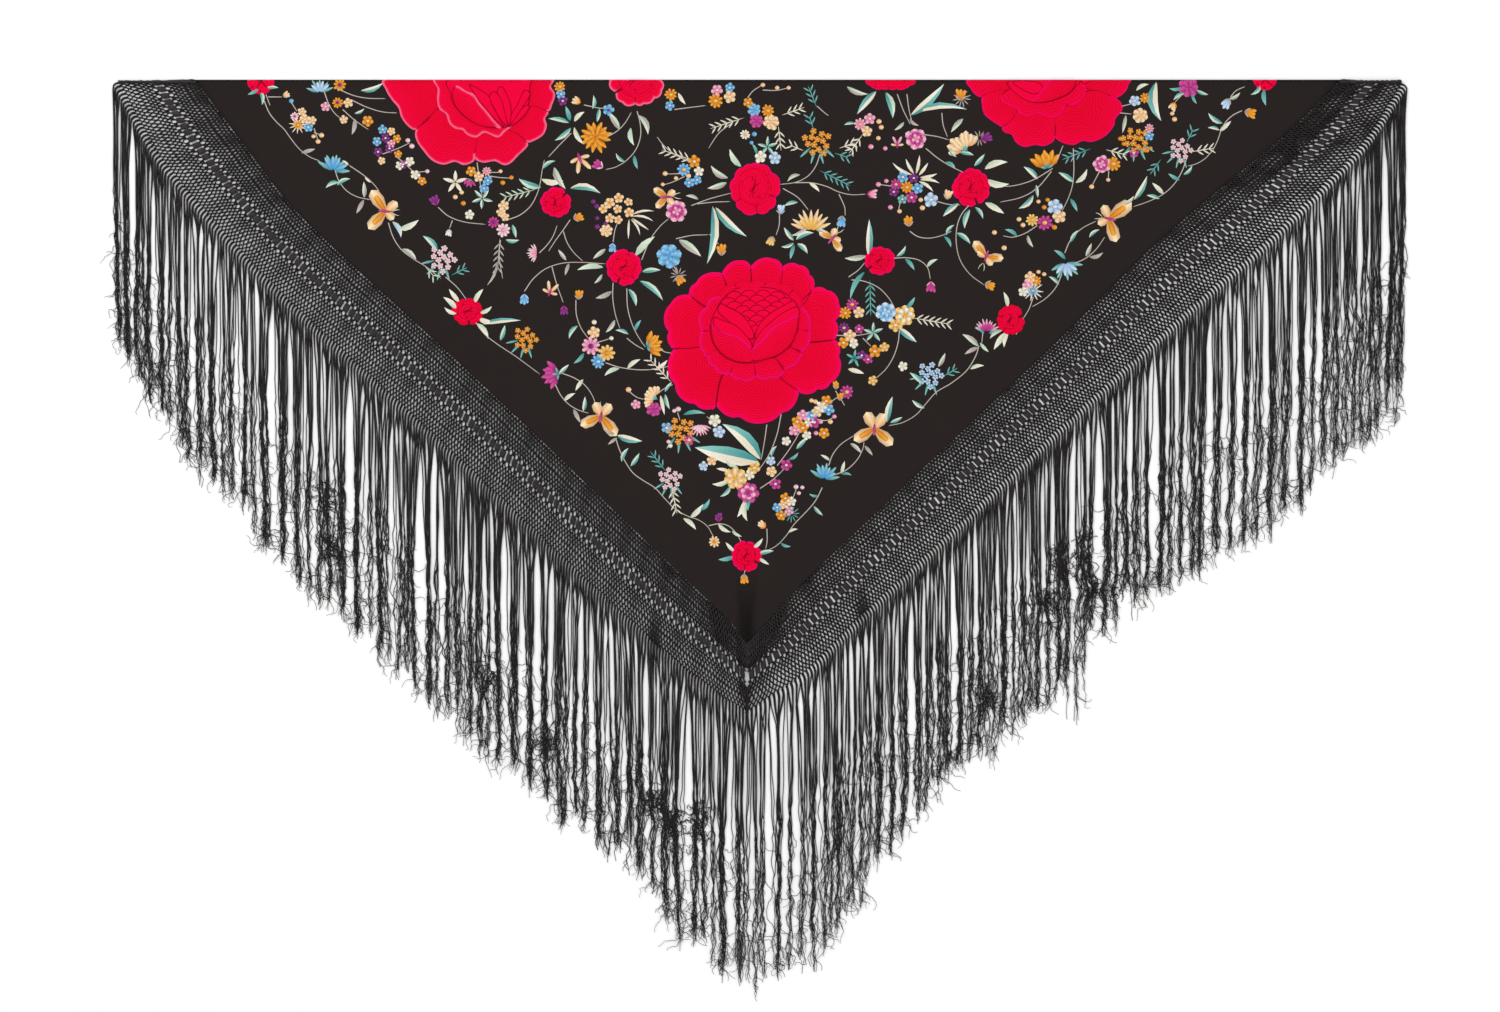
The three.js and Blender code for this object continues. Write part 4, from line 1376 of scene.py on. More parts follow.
# %% The chart, left side
GARLAND_LEFT = """
stem -86.8 3.5 -86 6 -84.5 7.7 -83 8.4 -82.3 10.3 -80.5 12.3 -78.8 13.7 -77 14.2, -86.4 2.6 -85.7 4.5,
-86 3 -83.6 3, -82 3.9 -81 5.5, -78 8.5 -77.6 9.6 -77.3 10.7, -78 9.2 -77 9.6,
-71.8 15 -69 16.8 -67.5 18.2 -66.6 19.5, -74.4 15.5 -74 17.5 -72.5 19.6 -70.5 20.7 -68 21,
-65 25 -64.4 27.5 -63 29.8 -60.8 31.4 -58.4 32.4 -55.8 34.8, -55 34.5 -52.7 36.2 -51.3 38.5,
-49.8 42.3 -48.6 44.5 -46 46.3 -43 48 -38.5 51.5, -34.7 51.3 -32.5 52 -30.5 53.2 -29.3 55 -28.7 56.8,
-35.8 53.3 -35 55.3 -33.5 57 -31.5 58 -30 58.3,
-25.2 62.8 -24.8 64.5 -23.5 67 -22.3 69 -20.5 70.3 -18 71 -17 73.2 -14.9 75.3 -12.5 76.6 -10.7 76.8 -9 77.8
    -8 80.2, -9 78 -7 77.4 -5.5 77.8 -4 79.2 -3.2 81, -2.5 85.3 -2.8 86.6;
leaf T -87.5 1.5 -89.6 2.6; leaf TS -87.5 1.8 -87.1 4.4, -86.5 1.6 -84.2 1.4; bud E -83 2.7 .8;
berry B -82 3.7; daisy PM -81.4 6.4 .8; florets E -80.1 5.6 -79.6 6.9 -78.3 7.1; spikes C -80.8 7.9 1.6;
daisy O -80.8 7.9 .9; floret B -79 8.3; berries E -78.1 9.9 -76.7 9.7 -77.3 10.8;
leaf Y -80.2 12.8 -77.8 12.1; lily BT -74.4 14.9 2.1 75; sprouts C 1.4 -72.5 14.5 -68.6 17.5;
sprouts TS 2.6 -72.8 17.9 -74.8 18.4; leaf YS -69.2 20.6 -69.3 17.8; leaf Y -69.3 21 -70.6 23.4;
butterfly -65.5 23 -68 19.3 -68.5 26.1 -64.2 22 -64.6 23.9; leaf LS -64.3 24.8 -62.8 27.6;
leaf CS -63.2 26.2 -59.7 24.5; leaf YS -62.6 29.6 -60.1 31.5; umbel P -55.5 31.3 2.3 60;
leaf TS -56.4 29.9 -59 27.3; twig S -58.6 32.6 -57 34.4; twig T -54 34.2 -51.2 32.8;
leaf CS -52.9 40.4 -55.4 38; leaf C -52.6 38.9 -54.4 36.6; leaf CS -50 39.2 -48.4 36.6;
leaf C -52.9 40.9 -55.2 39.8; leaf CS -49.2 40.8 -46.9 39.6; leaf C -49.4 41.6 -46.2 42.4;
leaf CS -49.6 42.6 -47.5 45.3; leaf CT -48.5 42.7 -41.8 42.1 1.1; umbel O -41 45.3 2.1 60;
leaf TS -45.4 45.6 -44.6 42.9; lotus M -36.4 51.6 2.1; leaf TC -35.2 51.6 -33.4 49.8;
sprouts CS 2.4 -31.6 53.4 -33.3 55.5; leaf TC -30.9 58 -30.6 55.4; leaf Y -32.6 57.6 -31.4 60;
butterfly -27.8 58.8 -31.4 60.5 -25.1 62.3 -28.5 57.3 -26.7 57.5; leaf Y -25.2 62 -27.4 60.8,
-25 62.6 -26.6 63.8; leaf TC -25 62.2 -20.6 63.2 1.5; leaf TS -24.2 66.8 -23 64.4, -22.6 67.6 -21.1 65.3;
twig T -16.4 68.6 -19.2 65; umbel P -15.7 69.8 2 80; twig C -15.5 71 -14.5 76;
leaf CS -13.4 76.7 -11.2 78.7, -12.2 76.6 -9.9 74.2; leaf T -10.7 75.3 -8.8 73.3; daisy EO -8 80.8 1;
bud VM -7.2 76.7 1; leaf CS -7.3 77.6 -5.1 79.1; leaf S -4.9 78.9 -3.2 79.9; leaf T -4.5 83.3 -7.3 83.9;
leaf CS -4.4 82.6 -6 80.9, -1.3 82 .5 80.2; leaf TS -.4 83 2.4 82.4; leaf CS -.3 83.6 1.6 84.8;
bud O -2.8 87.1 1.1 -90;
"""
FIELD_LEFT = """
stem -74 1.5 -71 3 -69 3.3 -65.5 3.3, -71.5 3.5 -69 4.8 -66 5.9 -63.5 5.8,
-76.3 1.8 -75.5 4.5 -74.5 6 -73 7, -73 5.2 -71 7.2 -68.5 8.7, -66 13 -63 12 -61.2 11,
-63.5 13.5 -61 15.5 -59.5 17.4, -60.2 16.2 -58.2 16, -56.3 22.3 -54.8 24 -52 25.1 -48 25.3,
-53.8 24.6 -54.3 26, -44.5 24.6 -42 23.9 -40 22.5 -39 20 -38.2 18 -38.3 16 -37.7 14,
-45.4 28 -46 30.5 -45 34.8, -49.5 14.5 -49.1 17 -48.6 20.5, -47.6 16.2 -45.6 16.2,
-47.6 16.8 -45.3 17.2 -43.7 17.2, -38.6 30.3 -37 28.8 -36 27.3 -35.5 25.5,
-41.2 37 -40 34.8 -37.5 32.7 -34.5 31.8 -31 31.9 -27 32.2, -36.4 32.7 -35.6 36 -34.4 39,
-32.2 38.5 -32.4 41 -31.5 43.5 -30 45.3, -28.6 46 -26 45.2, -30.8 4.4 -28 5.2 -25.5 5,
-33 9.3 -35.5 11.8 -37 13.5, -26.8 10 -25 9.2 -23.5 7.7 -22.5 5.7,
-21.5 5.5 -20.9 7.3 -20.6 10 -21.5 12.3 -23.3 14.3 -25.3 15.5 -27 15.7,
-33.2 24.5 -34.5 26.5 -35.8 28 -37 30, -34.4 26.5 -34 28.5 -32.5 30.5 -31 31.7,
-25.7 28.4 -25.5 26 -24.8 24.8, -25.7 35.5 -26 38 -25.3 41.5 -24.5 43.5,
-23.3 36.5 -23.4 40 -22.5 43 -20.7 46 -20 46.8, -20.7 31.5 -19.5 27.8 -17.5 25.5 -16 24.3,
-23.3 45.2 -21.8 46.5 -20.3 47.2, -17.6 47 -16.7 47.8 -15.5 47.8, -15 32.6 -14.4 34,
-27 49.5 -25 50.4 -21 50.9 -18 50.7 -16 50.1, -22.9 54.5 -21.6 55.8 -20.3 55.9, -15.3 53.3 -17 54 -18 55;
lily LT -77 1.4 1.6 90; daisy OV -73.5 .9 1.1; florets K -76 4.7; daisy OV -73.9 4; florets E -72 4 -72.8 7;
leaf Y -70.9 6.8 -71.4 9.6; leaf TC -70.9 5.9 -69.2 5; floret O -68.6 7.2 1; leaf TC -69.8 1.9 -65.9 .5 1.1;
florets B -66 8.7 -67 10.8; florets E -64.5 9 -66.2 14.2;
florets V -65.5 10.2 -64.8 12 -66.8 12.6 -62.4 14.8; florets O -63.5 10.3 -63.3 13; florets K -64.5 11.2;
florets C -63 15 -61.3 14.3 -60.3 16.6; berries P -58.2 16 -61.6 10.6 -60.9 11.6; florets O -59.1 17.7;
bud VM -56.8 21.3 1.2; floret C -50.8 23.6; bud CL -54.4 26.6 .8; florets E -44.8 22 -45.3 23.2 -44.6 24;
daisy MV -46.6 24.9 1; daisy PK -44.9 26.3 1.3; twig S -39.2 19.2 -44.9 20.6; twig Y -45.5 27.6 -45.9 33.5;
leaf Y -46 32 -47.8 36 .6; sprouts TS 2.4 -43 26.5 -43.3 28; star C -53.3 17.9 1.9; floret O -50.5 16 .9;
floret E -49.2 17 .9; lotus M -50.9 17.9 1 250; floret B -47.6 17.6, -48.3 19; daisy K -47.8 16 .8;
berries E -45.4 16 -52.2 19.7 -53.3 20.5; berries O -43.5 17.1 -45 18 -51.9 21.6; star CT -48.6 20.8 1.7;
leaf TS -38.3 18.8 -42.2 17.3; leaf C -38.2 17.4 -34.4 17.6; leaf TS -38 15.6 -35.8 14.2;
fan PK -39.6 30.3 1.3 180; bud BL -41.2 38.2 1.2 -90; insect E -36.8 37.3 2 70; bud VM -34.3 40.1 1 -90;
bud O -31.7 37.8 1.1 90; floret E -29 44.2 1.1; daisy KV -29.6 46.6 1.6; daisy GO -26.8 47.8 1.5;
daisy BL -28.3 49.3 1.2; berries C -26 45.2 -29 42.4; leaf TS -31.9 43 -33.4 45.3;
leaf T -30.8 47.8 -32.6 49.6; bud EO -31.9 3.8 1; daisy O -35 1.2 1; floret B -34.8 2.5; floret V -34.5 3.7;
floret BV -26.5 5.3 1; sprouts TS 2.4 -29.2 3.9 -28.3 6.2; leaf T -33.2 7.2 -34 4.6 1;
leaf TS -33.4 7.5 -37 6.8 1; leaf CS -32.5 7.3 -30.7 5.6 1; leaf TS -33.1 8.4 -35.9 10.6 1.1;
leaf CS -32.5 8.3 -30.7 11.3 1; mum O -28.8 10 2.8; leaf SY -24.6 8.7 -26.6 5.6, -21.2 6.2 -19.6 9.6;
leaf S -22.6 8.4 -22 11.5; bud MP -28.1 15 1.2; leaf TS -23.6 14.3 -25.2 12.8; leaf T -22 13.2 -21.4 15.6;
insect E -31.6 13.6 2.6 -70; leaf YS -36 15.3 -34 19.1; leaf TC -33.2 19 -27.9 19.9 1.5; bud O -32 24.1 1.1;
florets EO -26.3 21.5 -24.7 20.7 -23 21.4 -27.4 22.6 -24.9 22.6 -22.9 23.2 -26.3 24.2 -24.8 24.5;
berries V -29.2 21.3 -28.6 22.1 -28.5 24.2 -28.5 25.7 -27 25.2; leaf C -22.4 23.6 -18.5 23 .5,
-22.4 23.9 -18.6 24.8 .5, -22.4 24.2 -19.4 26.3 .5, -22.6 24.4 -21 27.2 .5, -22.9 24.4 -23 27.9 .5;
peony E -26.9 26.4 1.1; bud BL -25.8 29.2 1; leaf SY -27 29.6 -29.2 31.3; leaf S -27.4 32.8 -32 33.3 1.2;
leaf SY -27.6 34 -29 35.6, -33.9 31.6 -35.3 29.7; leaf Y -33.4 32.1 -34.1 34.2, -25.9 37 -28.8 38.2;
leaf YS -25.4 42 -27 44.2; leaf TS -23 36.6 -21.7 39.6, -21 35.2 -17 38.6 1.3, -20.6 33.6 -17.4 33.3;
leaf T -21.9 44 -20.8 42; leaf TS -23 44.5 -25.3 43.8; leaf S -21.8 30.8 -18.4 27.4 1.5;
lotus O -18.7 46.3 2 20; peony B -15.9 30.8 2.2; bud O -14.1 34.8 1.2 -60; spikes Y -14.3 34.2 1.5;
leaf CS -23.2 50.5 -20.9 48.9; leaf S -24.6 50.5 -27.2 51.8; leaf C -18.2 50.5 -16.2 49;
twig C -15.4 53 -19.4 48.8; carnation E -19 55.3 1.5 150; peony M -18.6 57.6 1.3; berry E -23 54.2 .5;
floret K -21.7 56.8; leaf TS -16.6 54.6 -15.4 52.9; leaf C -17.4 55.2 -16.7 58.6 .8;
leaf TS -16.6 55 -15.8 57.6 .9;
"""

# %% The chart, middle
FIELD_MIDDLE = """
stem -15 5.2 -12 4.8 -9.5 4.5, -2.2 3.2 -1.5 1.8 0 1.3 .5 .8, .5 1.8 3 2.1 5 1.4, -5 7.6 -7.5 9 -9 12,
-12 14.5 -15 13.3 -17 11.5 -18 10, -13 16.4 -16.6 16.5, -13.2 16.9 -15.2 18 -16.9 18.4,
-12 22 -9 20.7 -5 19.8, -11 21.7 -8 21.3 -5.2 21.3, -14.7 27.8 -12 27 -9 27.1, -8.8 27 -7.2 28.8,
10 4.6 11 5.6 12 6.3, 10.5 13 10 15.2 8.5 17 6.5 18.2 3.5 18.3,
6 18 9 17.8 12 18.5 13.5 19.8 16 20.3 18.5 20, 4 19 7 20.3 8.5 22.8, 13.8 20 15.2 22.5 14.9 23.8,
3.4 23.5 3.6 25.5 2.8 27.2;
daisy O -15.6 2.6 1.1; floret B -15.8 4.5; leaf C -14.3 2.3 -13 4.3; floret K -7.5 1.8 1;
daisy OG -7.8 3.7 1.3; floret B -5.3 1.4; floret E -5.3 3 1.1; floret O -2.1 4; peony B -1 5.3 1.1;
daisy O 1.4 5.4 1.1; peony M -.6 7.2 1.2; peony E 2 7.4 1.4; berries E .5 .9 5 1.4 3 1.4;
twig C 3.8 6.2 7.8 4.8, -2.7 6.6 -8.8 8.6, 3.2 8 3.7 12.5, -11.5 14.2 -17.3 12.2; daisy C -2.6 9.6 .9;
berries B -1.5 11 -1 9.5; star TS 1.3 11.7 1.6; leaf T -.6 13 -1.4 11.2; floret C .1 13.5 1.1;
floret L 2.6 13.7 1.1; floret O -11.5 14.3 1.1; daisy B -13.3 15.7 1.2; floret C -10.7 16;
berries E -16.6 16.4 -17 18.3 -14.7 17.2 -12.5 16.8; florets B -11 17.5 -12.4 18; leaf SY -5.6 17.2 -8.6 15,
-5.8 18 -9.2 19; leaf S -3.3 15.2 -5.3 12.1; butterfly -16.3 20.5 -18.6 19 -18.2 22.4 -15.4 19.8 -15.6 21.3;
peony KM -14.6 23 1.9; leaf YS -10.8 20.9 -13 20.3; leaf TC -8.3 22.1 -9.3 32.2 1.8,
-7.8 22.3 -2.3 27.4 1.7; bud O -6.7 30 1.3 90; leaf YS -14.2 28 -10.3 30.9; twig T 10 5 8.4 1;
umbel O 10 10.8 2.4 90; twig T 9.4 8.8 8.6 6.3; twig C 7.6 12.4 5.2 11.4, 13.8 12 16.6 11;
twig T 13 12.8 15.4 13.6; leaf YS 7 16.6 4.8 17.8; twig T 10.3 15.8 15.9 18.6; leaf C 8.6 18 10.4 19.6;
bud B 14.3 24.5 1.2 -100; bud L 3.6 22.9 1.1 90; bud G 2 28 1.1 -110; fan EG 8.9 25.1 2.7 90;
leaf YS 8.4 25.4 5.4 27.2 .9, 9.2 25.6 12 27 .9; leaf TS 6.6 21.4 4.2 22.1; leaf TC 5.9 28.1 4.2 25.8,
6.3 28 9.4 26.8 1.2, 5.9 28.5 3.7 29.2, 6.5 28.7 8.3 30.4 1.1; leaf T 6 28.9 5.3 31.4;
butterfly 12.7 27.7 10.3 26.5 14.2 30 13 26.6 13.6 28; daisy K 17.5 7.8 1.1; floret K 19.2 6.8 1;
floret E 18.7 9 1; leaf TS 16.6 7.6 14.7 7.9; berries E 20.8 7.3 21.2 8.3 20.7 10.2;
berries K 19.4 11.7 21.9 12; twig C 18 9.5 15.5 13; leaf YS 15.2 1.2 18.9 2.5 1.1; bud KM 19.4 20 1.1;
"""
UNDER_CENTRE = """
stem -14.4 58.2 -14 59.6, -8 60 -9.3 58.9, 1.2 60.3 .8 63.5 .2 66.5, 3.7 58.5 3.2 62 1.8 65.5 .3 67.7 -1 69,
3 67.5 5 65 6.5 62.5 7.5 60.5, 12 56.6 13.6 55.4 15 54.8, 13.2 54.4 14.3 56 14.8 57, 0 71.5 2.5 70 4.3 68,
10 59.4 11.6 60 13 59;
leaf TC -.2 66.8 -11.4 64.3 3.7, .1 66.4 -6.6 60.2 2.9; umbel O -13.9 61.3 2.4 100; floret B -16.3 60.9 1;
floret M -12.4 63 1; fan KP -10.5 61 1.5 -90; berries P -15 57.9 -14.3 57.6 -16 63.3; berry C -15.7 64;
leaf T -13.4 58.6 -9.6 58.4 .9; floret C -7.9 59.6 1.1; floret L -7.2 61.6 1.1; floret G -1 67.9 1.1;
floret C -1.8 69.1; peony GE -4.3 69.7 2; peony MK -2.1 72.2 1.9; floret E -8.4 66.6 .9; floret L -9.9 67.6;
leaf CS -5 67.8 -6.6 65.4; leaf C -5.5 68.4 -7.6 68; leaf S -3.8 67.9 -5.5 66.6; leaf CS -5.5 70 -8.4 70.7;
leaf TS -5.2 71 -7 72.9; leaf C -2.8 73.7 -4 76.5; leaf CS -2.4 73.8 -2.2 77.2; leaf T -1.6 73.4 -2.1 75.4;
leaf TS 6.4 64.6 8.3 62.6, 2 66 3 64; leaf T 5 66.4 6.7 65.2; floret C 4.6 63.2, 8.2 62.2;
floret K 6 61.3 1, 7.5 58.7 1; floret O 6.5 59.8 1, 7.5 60.9 1; floret B 9 58.7 1; floret C 8.6 60;
floret M 9.5 59.9 1.1; floret E 9.9 58.1 1; floret C 10.8 57.2 1; floret B 12 57.7 1; floret O 11.6 56.2 1;
daisy M 15.2 54.6 1.2; bud O 13.3 53.6 .9, 14 55.6 .9; floret O 11.2 61.8 1;
berries E 9 56.1 9.7 56.3 12.3 59.8; berries K 13 58.9 10.6 59.8 9.8 61.8; floret L 1.9 66.7;
floret E 2 68.5 1; floret M 4.6 67.4 1, 2.7 70.7 1;
"""

# %% The chart, right side
FIELD_RIGHT = """
stem 24 2.5 25 5.5 26.3 7.8, 25.7 2.5 25.9 5 26.6 7.5, 28.8 9.6 31 9.8 33 10.5,
29 12 31 13.8 33.5 15.3 35.8 16.3, 31.8 5.8 31.8 8 32.8 10, 23 18.6 20.7 18.3, 24.6 21 24.2 23,
31 21.3 33 22 35 21.9, 26.2 26.5 27.5 27.7 29.5 27.9 32 27.3 33.5 26.5,
36.5 22 35 23.5 34.3 25.5 34.2 28.5 34.6 31.5 36.5 34.3 39.2 35.9, 15.5 34.5 17.5 33.3 18.3 32,
16 35 18 35 21 36 23 38.5 24 41, 23.5 31.2 25.5 31 28 31.3 29.7 32.6 29.8 34.9,
24.4 43.8 24.3 46 23.5 48.5 22 51 20.3 52.2, 13 44.7 17 45 20 44.2, 18 45.2 19.4 46.6, 63 4.7 65 4.2,
63 5.8 65 6, 59.4 16 58.1 18.5, 61 16 60.9 17.5, 54.8 12 55 16 54.8 18.5 54 20.8 52.8 23, 52 14 53 11.5,
51.2 15.5 48 17.8 44 18.9 41 18.6, 51 16 48.5 19.5 46 20.7 42 21.4, 48.5 25.5 46.5 27 44 27.9 42.5 27.3,
54.8 32.2 57 31.5 59 29.7 60.3 27.5, 53.3 30.3 54 28 56 25.8 58.8 24.7, 52.8 34 52 36.5 50 38.5 47.6 39.7,
47.8 38 47.2 40.3 46 41.8, 39 44 38.8 46;
leaf TC 20.3 2 17 6 1.5; leaf TS 22 2.2 23.2 6.7; leaf TC 26.4 6.2 32.2 .7 1.8;
leaf CT 26.8 5.8 36.2 5.2 1.4; leaf YS 25.2 7.4 23.5 8.8; leaf Y 26.2 6.8 27.8 8; peony KM 27.3 10.3 1.9;
insect KV 24 11.5 1.6; bud O 35.1 2.9 1.3; spikes Y 35.3 3.3 1.6; carnation E 35.4 11.2 2 120;
bud VM 39.3 10.2 1.2 20; spikes Y 38.4 10.2 1.4; leaf YS 35.5 6.8 33.4 9.2; leaf TS 33 11.9 34.4 13.5,
34.9 12.7 37.4 13.2; leaf T 32.4 14.4 34.2 15.6; leaf C 26.6 16.6 23.2 14.5 .7, 26.9 16.4 25.5 13.8 .7,
27.3 16.4 27.9 13.2 .7, 27.8 16.7 29.4 14.5 .7, 28 17.1 31 16.4 .7, 28 17.5 31.4 18.1 .7,
27.8 17.8 30.3 19.6 .7; floret B 25 17 1; floret V 26.9 17.2; daisy M 23.8 18.3 1; daisy O 25.7 18.8 1.1;
floret B 27.6 19 1; floret V 23.4 19.6; floret M 26.5 20.6 1; floret T 24.9 20.9;
berries K 20.7 18.3 22.1 17.7 22.8 22.3; berries E 24.4 23 28.4 22.4 28.1 21; leaf TS 37.5 15.1 39.3 13;
leaf CS 39.3 15.6 43.3 14.4, 39.3 17.4 43.6 18.2; leaf TC 34.7 21.6 32 23.9; leaf TS 36.7 22.7 35.8 26,
37.6 22.3 39 24.3; leaf CS 39.4 21.5 42.7 23.4; floret L 29.9 21 1.3; bud E 32.8 20.3 1.1;
bud O 26 25 1.2 100; leaf TS 32.6 27.2 34 25.4, 34.4 26.8 36.8 28.7; leaf T 32.2 27.4 33.4 29.3;
bud O 40 35.9 1.2 -20; butterfly 39.5 31 37.4 28.2 42.6 31.2 38.6 30.4 40.2 31.9;
berries E 41 26.7 42.7 29.4; leaf TC 19 31 19.1 24.4 1.5; leaf YS 18.6 30.8 14.8 31.2 1.2;
leaf T 18.3 33.6 15.8 38.4 1.1; leaf TS 23.9 30.9 25.5 29; leaf T 25.4 31.3 27 33.3;
leaf S 29.2 32.8 31.1 31.4; bud MK 29.9 36 1.2 -90; twig T 19.2 34.8 19.4 41.4; peony LB 22 40.7 1.8;
peony GC 25.4 41.2 1.8; floret G 23.7 42.9 1.2; leaf T 25.6 40 27.1 38; twig C 26.4 41.6 33.5 42.8;
leaf TC 24.2 43.4 27.4 45.9; floret G 19.7 52.6, 21.8 46.8; floret C 25 50.1; daisy M 16.1 39.3 1.1;
daisy O 14.9 40.8 1.1; floret E 17.3 40.7 1; daisy V 14.7 43.4; floret M 17.3 43.6; floret E 15.7 44.8 1.1;
floret O 14.6 46 1; floret C 16.4 46.2; floret O 20.1 47.5 1.1; floret V 17.8 48.2; floret M 18.9 48.9;
star TS 19.8 44.2 1.7; star T 16.5 48.7 1.4; leaf C 15.4 50.6 18.2 51.4; floret L 65.5 3.7 1;
daisy O 67.3 3.2 .9; peony E 66.5 6.3 1.4; daisy K 68.1 8.5 .8; floret B 68 9.8; umbel O 65.7 10.5 2.3 100;
floret M 65.4 12.8; berries O 63 10.3 63.6 11.2 68.3 12 67.7 12.4; leaf YS 64 6.2 63.4 9.3 .8;
peony KM 59.8 14.8 1.6; daisy O 61.8 14.7 1.3; berries E 58 18.7 60.9 17.5; twig C 60.4 12.2 64.2 13.2;
twig T 58 12 52.8 14; leaf TS 54.9 17.9 52.2 16.2; leaf CS 55.2 18 57.2 15.6; leaf T 54.3 20.8 55.5 23;
lotus O 50 14.2 2.3 100; leaf TC 48.6 17.4 46.1 15.2, 48.3 18.4 48.6 20.6, 47.8 20.2 45.2 22.5;
floret L 51.6 22.2 1.4; floret E 52.4 23.9 1.2; daisy M 49.8 25 1.4; daisy G 47.6 24.5 1.1;
berries E 45.3 24.4 46 25.4 48.7 21.3; berries O 51.5 25.8 50.3 21 49.7 22.3; leaf YS 46.8 27.2 47.8 29.3;
leaf T 45 27.4 42.8 26.2; lily LT 53.6 33 2 -80; leaf YS 57 30.9 58 28.6; leaf Y 57.6 31 60 30.2;
leaf TS 54.3 28.4 55.7 26.3; leaf T 53.4 31.4 51.4 29.8; leaf TC 57.6 27.6 59.4 26.2;
leaf TS 52.3 35.8 50.5 34.4; floret E 47.3 34.5 1; daisy O 48.3 35.2; floret K 46.9 35.8 1;
spikes C 47.7 36.9 1.9; daisy B 47.7 36.9 1; floret C 46.1 37.1 .9; berries E 48.7 33.6 49.7 34;
leaf CS 43.3 39.8 42.6 37.1; leaf YS 42.4 43.8 40.2 45.3; leaf CS 43 44.2 40.9 47.2;
leaf C 43.4 44.2 42.7 46.8; fan KM 39.6 43.3 1.6 90; leaf T 39.2 44.4 37.6 43.2, 40 44.4 41.4 43.6;
leaf YS 38.2 46.6 35.4 44.5; leaf Y 38.2 46.8 35.8 48; leaf S 38.5 46 40 47.6;
"""
GARLAND_RIGHT = """
stem 73.8 2.6 72.6 3.9, 82.3 3 83 1.7 84.8 1.2,
84.3 5.4 82.7 6 81.3 7.3 80.5 9 80.2 10.5 79.3 12.3 78 13.9 76.2 14.9 74.8 15.1,
74.6 13.8 74 16 72.5 18.5 70.5 20.3 68 21.3 65.3 22.2, 46 41.8 44.8 44.6,
38.3 46.5 38 48 36.5 51 33.5 53.5 30.4 54.2 29.5 56.3 27.5 58.8 25 60.2 22.5 60.5,
12 67.5 12.5 65.5 14 63.5 16.5 62.2, 12.7 69.2 15 68.7 17 66.8 18.2 64.5 18.2 63.3,
10.9 71.3 9.9 73.7 8 76 5.6 77.4 4.8 80 3 81.7 .5 82.7, 5.2 74.2 6 72.8 6.4 71.4, 1.2 78.5 1.4 81 1 82;
leaf CS 65.8 1.9 68 .8; leaf TC 69.3 .4 70.2 7.2 2.2; peony M 75 1.3 1.8; leaf T 73.8 1.4 71.6 1.5;
leaf TS 74.3 2.3 72.3 3.6; leaf T 75.6 2.4 76.4 4.2; leaf TS 76.3 1.8 78.4 2.6; bud EO 72.3 4.5 1;
berries E 72.1 5.9 72.5 6.9; leaf TS 87.6 .8 85.8 2.6; leaf T 88.2 1.6 88.5 4.5; bud L 81.7 3.9 1.2;
leaf YS 82 3.4 84 2.2; bud O 85.5 5.7 1.3; leaf TS 80.9 7.6 78.4 5.8; leaf TC 80.4 8.8 78.3 8.4;
leaf CS 80.4 9 82.4 7.2; umbel P 73.6 12.2 2 60; twig T 74.6 11 75.8 8.6; twig C 75.4 12.6 79.6 11.9;
twig T 70.2 13.8 68.2 16.6; leaf TS 74.1 16.6 75.6 15; leaf T 73.4 17.6 71.4 16.4; leaf CS 70.6 20 68.6 18;
leaf TS 69.9 20.8 67.6 20.2; leaf TC 65.4 21 67.7 16.8 1.2;
butterfly 61 24.3 65 21.4 62.3 28.4 60.4 22.8 59.8 24.9; leaf YS 63.4 21.8 65.4 20.3;
umbel LB 29.8 51.6 2.2 60; twig T 31.8 52 34.6 50.4; leaf TS 28.6 53.2 26.2 51.2;
leaf YS 31.2 50.2 32.4 47.8; butterfly 20 61 16.4 63.1 23.2 63.9 19.1 59.2 21.2 59.4;
leaf TC 22.2 59.9 23.2 55.4 1.4; leaf TS 22.8 60 24.9 59; leaf YS 15.8 63.6 17.7 65.3;
leaf Y 18.3 64 19.7 65.7; leaf TC 28.8 57.4 26.6 56; leaf CS 36.8 50.6 39.2 50; lily BT 11.4 68.9 1.9 80;
leaf CS 12.2 66.6 10.6 65.6, 14.2 68.9 14.8 66.7; leaf T 14.3 69 16 69.2, 10.3 72.8 8.6 72.4;
leaf TS 9.4 74.6 11 76.2; floret O 4.4 73.2 .9; floret E 4.1 74.3; floret C 5.5 73.8; floret B 3 74.8;
floret K 5.1 75.4; floret O 3.7 76.2 .9; berries P 6.3 71.2 7.4 71.3 6.8 72.3; spikes T 5.5 76 1.4;
bud EO .5 78 1; leaf CS 4.9 79.2 6.6 78.6; leaf T 3.6 81 5.4 81.6;
"""

# %% Working the chart
flowers = [
    work_chart("garland_left", GARLAND_LEFT),
    work_chart("field_left", FIELD_LEFT),
    work_chart("field_middle", FIELD_MIDDLE),
    work_chart("under_centre_rose", UNDER_CENTRE),
    work_chart("field_right", FIELD_RIGHT),
    work_chart("garland_right", GARLAND_RIGHT),
]

# %% [markdown]
# ## The roses
#
# The roses are the thickest work. Each petal is padded and filled with short waved rows that run side by
# side with its scalloped rim, and a dark line, deepened with painted shade, lies where two petals meet. So
# a petal is a low dome with the petal's outline, and each of its points knows how far it lies inside the rim
# and inside the other edges, which the finish turns into rows, a pale rim and dark lines of painted shade.
# A rose is laid from its outermost petals inwards.

# %% Rose petals
ROSE_RIMS = {
    "magenta": linear("fa0062"),
    "purple": linear("ec0a74"),
    "pink": linear("ff7098"),
    "red": linear("e4002e"),
    "deep": linear("a8001c"),
}


